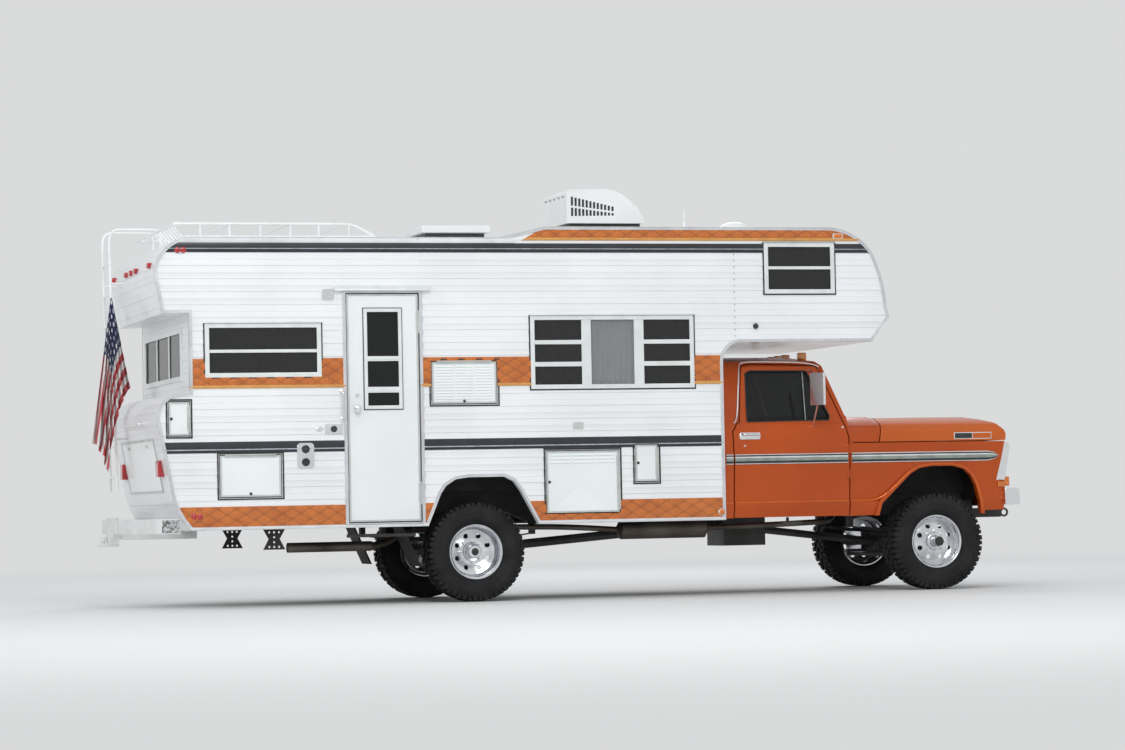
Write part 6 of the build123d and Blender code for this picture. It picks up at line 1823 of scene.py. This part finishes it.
def rear_plate(work, y0, y1, z0, z1, stand):
    """A flat plate on the slanted lower wall."""
    corners = [work.verts.new((on_rear(z) + (0.002 if inner else -stand), y, z))
               for inner in (True, False) for y in (y0, y1) for z in (z0, z1)]
    for a, b, c, d in ((0, 1, 3, 2), (4, 6, 7, 5), (0, 4, 5, 1), (2, 3, 7, 6), (0, 2, 6, 4), (1, 5, 7, 3)):
        work.faces.new((corners[a], corners[b], corners[c], corners[d]))


work = bmesh.new()
rear_plate(work, -0.780, 0.780, 0.950, 1.355, 0.006)
piece("rear_panel", work, door_white, "truck", "door_skin", bevel=0.0015)
work = bmesh.new()
for y0, y1, z0, z1 in ((-0.797, 0.797, 0.935, 0.953), (-0.797, 0.797, 1.352, 1.371),
                       (-0.797, -0.779, 0.953, 1.352),
                       (0.779, 0.797, 0.953, 1.352)):
    rear_plate(work, y0, y1, z0, z1, 0.010)
for y in (-0.45, 0.45):
    rear_plate(work, y - 0.030, y + 0.030, 1.300, 1.322, 0.016)
piece("rear_panel_frame", work, frame_grey, "truck", "trim_aluminium", bevel=0.0012)
work = bmesh.new()
bar_x, bar_z = on_rear(1.498) - 0.034, 1.498
stud(work, (bar_x, -0.450, bar_z), (bar_x, 0.440, bar_z), 0.011, 12)
for y in (-0.430, 0.0, 0.420):
    stud(work, (bar_x, y, bar_z), (on_rear(bar_z) + 0.004, y, bar_z), 0.008, 8)
piece("rear_grab_bar", work, tube_white, "truck", "rack_aluminium", angle=40)
bumper_steel = finish("scuffed white bumper steel", (0.80, 0.80, 0.79), (0.66, 0.66, 0.65), 0.42, metal=0.1,
                      patch=5.0,
                      grain=110, relief=0.0006)
rear_bumper = plain_copy("rear_bumper")
ball = bmesh.new()
lathe(ball, [(0.0, 0.0), (0.0, 0.020), (0.010, 0.020), (0.014, 0.0247), (0.026, 0.0249), (0.038, 0.018),
             (0.0445, 0.0)],
      32, (0, 0, 0))
standing(ball, (-2.905 + shift_x, 0.0, 0.541))
ball_mesh = bpy.data.meshes.new("ball")
ball.to_mesh(ball_mesh)
ball.free()
rear_bumper.from_mesh(ball_mesh)
piece("rear_step_bumper", rear_bumper, bumper_steel, "truck", "bumper_chrome", "rear_bumper", bevel=0.002)
mottled = finish("mottled reflective tape", (0.60, 0.60, 0.60), (0.02, 0.02, 0.02), 0.4, patch=55.0,
                 grain=200)
work = bmesh.new()
boss(work, rounded(-2.604 + shift_x, -2.462 + shift_x, 0.612, 0.714, 0.004), -1, 1.098, 1.1018, 0.0005)
piece("bumper_end_tape", work, mottled, "truck", "fitting_black", angle=40)

# Under the camper
# Perforated steel hangers, rubber mud flaps, a folding entry step with a ribbed tread, and the exhaust, whose
# flared tail pipe ends below the side.
hangers = share("underbody_fittings", lambda low, high: high[0] < -1.50 + shift_x)
holes = bmesh.new()
for sign in (-1, 1):
    for x, z in ((-1.700, 0.600), (-1.660, 0.600), (-1.620, 0.600), (-1.660, 0.560), (-1.660, 0.520),
                 (-1.700, 0.482),
                 (-1.660, 0.482), (-1.620, 0.482)):
        stud(holes, (x + shift_x, sign * 0.88, z), (x + shift_x, sign * 0.92, z), 0.009, 10)
piece("perforated_hangers", carve(hangers, holes), frame_black, "truck", "chassis_paint",
      "underbody_fittings")
flaps = share("underbody_fittings", lambda low, high: low[0] > -0.70 + shift_x and high[0] < -0.40 + shift_x)
piece("mud_flaps", flaps, rubber, "truck", "tyre_rubber", bevel=0.003)
steps = share("underbody_fittings", lambda low, high: low[0] > -1.20 + shift_x and high[0] < 3.0 + shift_x
              and not (
    low[0] > -0.70 + shift_x and high[0] < -0.40 + shift_x and low[2] < 0.4))
for n in range(7):
    y = -1.066 + n * 0.004
    add_box(steps, -1.085 + shift_x, -0.535 + shift_x, y, y + 0.0018, 0.5695, 0.5725)
piece("step_plates", steps, frame_black, "truck", "chassis_paint", bevel=0.001)
work = bmesh.new()
bent_tube(work, [(x + shift_x, y, z) for x, y, z in (
    (3.440, -0.240, 0.800), (3.390, -0.275, 0.700), (3.330, -0.320, 0.600), (3.200, -0.480, 0.592),
    (3.050, -0.500, 0.585), (2.600, -0.500, 0.570), (2.140, -0.500, 0.560))], 0.025)
stud(work, (2.150 + shift_x, -0.5, 0.56), (2.120 + shift_x, -0.5, 0.56), 0.030, 24, 2.7)
stud(work, (2.120 + shift_x, -0.5, 0.56), (1.380 + shift_x, -0.5, 0.56), 0.082, 24)
stud(work, (1.380 + shift_x, -0.5, 0.56), (1.350 + shift_x, -0.5, 0.56), 0.081, 24, 0.38)
bent_tube(work, [(x + shift_x, y, z) for x, y, z in (
    (1.355, -0.500, 0.560), (1.000, -0.500, 0.588), (0.600, -0.500, 0.600), (0.000, -0.500, 0.600),
    (-0.440, -0.500, 0.598), (-0.560, -0.545, 0.545), (-0.660, -0.600, 0.486), (-0.780, -0.622, 0.470))],
    0.025)
stud(work, (-0.760 + shift_x, -0.622, 0.470), (-0.800 + shift_x, -0.623, 0.470), 0.027, 24, 1.5)
stud(work, (-0.800 + shift_x, -0.623, 0.470), (-1.500 + shift_x, -0.640, 0.470), 0.0405, 24)
piece("exhaust_pipes", work, pipe_steel, "truck", "exhaust_steel", "exhaust", angle=40)
# A black disc closes the tail pipe's mouth: soot inside it and painted shade for the open pipe
work = bmesh.new()
stud(work, (-1.490 + shift_x, -0.640, 0.470), (-1.5025 + shift_x, -0.640, 0.470), 0.036, 24)
piece("tail_pipe_soot_and_shade", work, under_black, "truck", "exhaust_steel", angle=40)
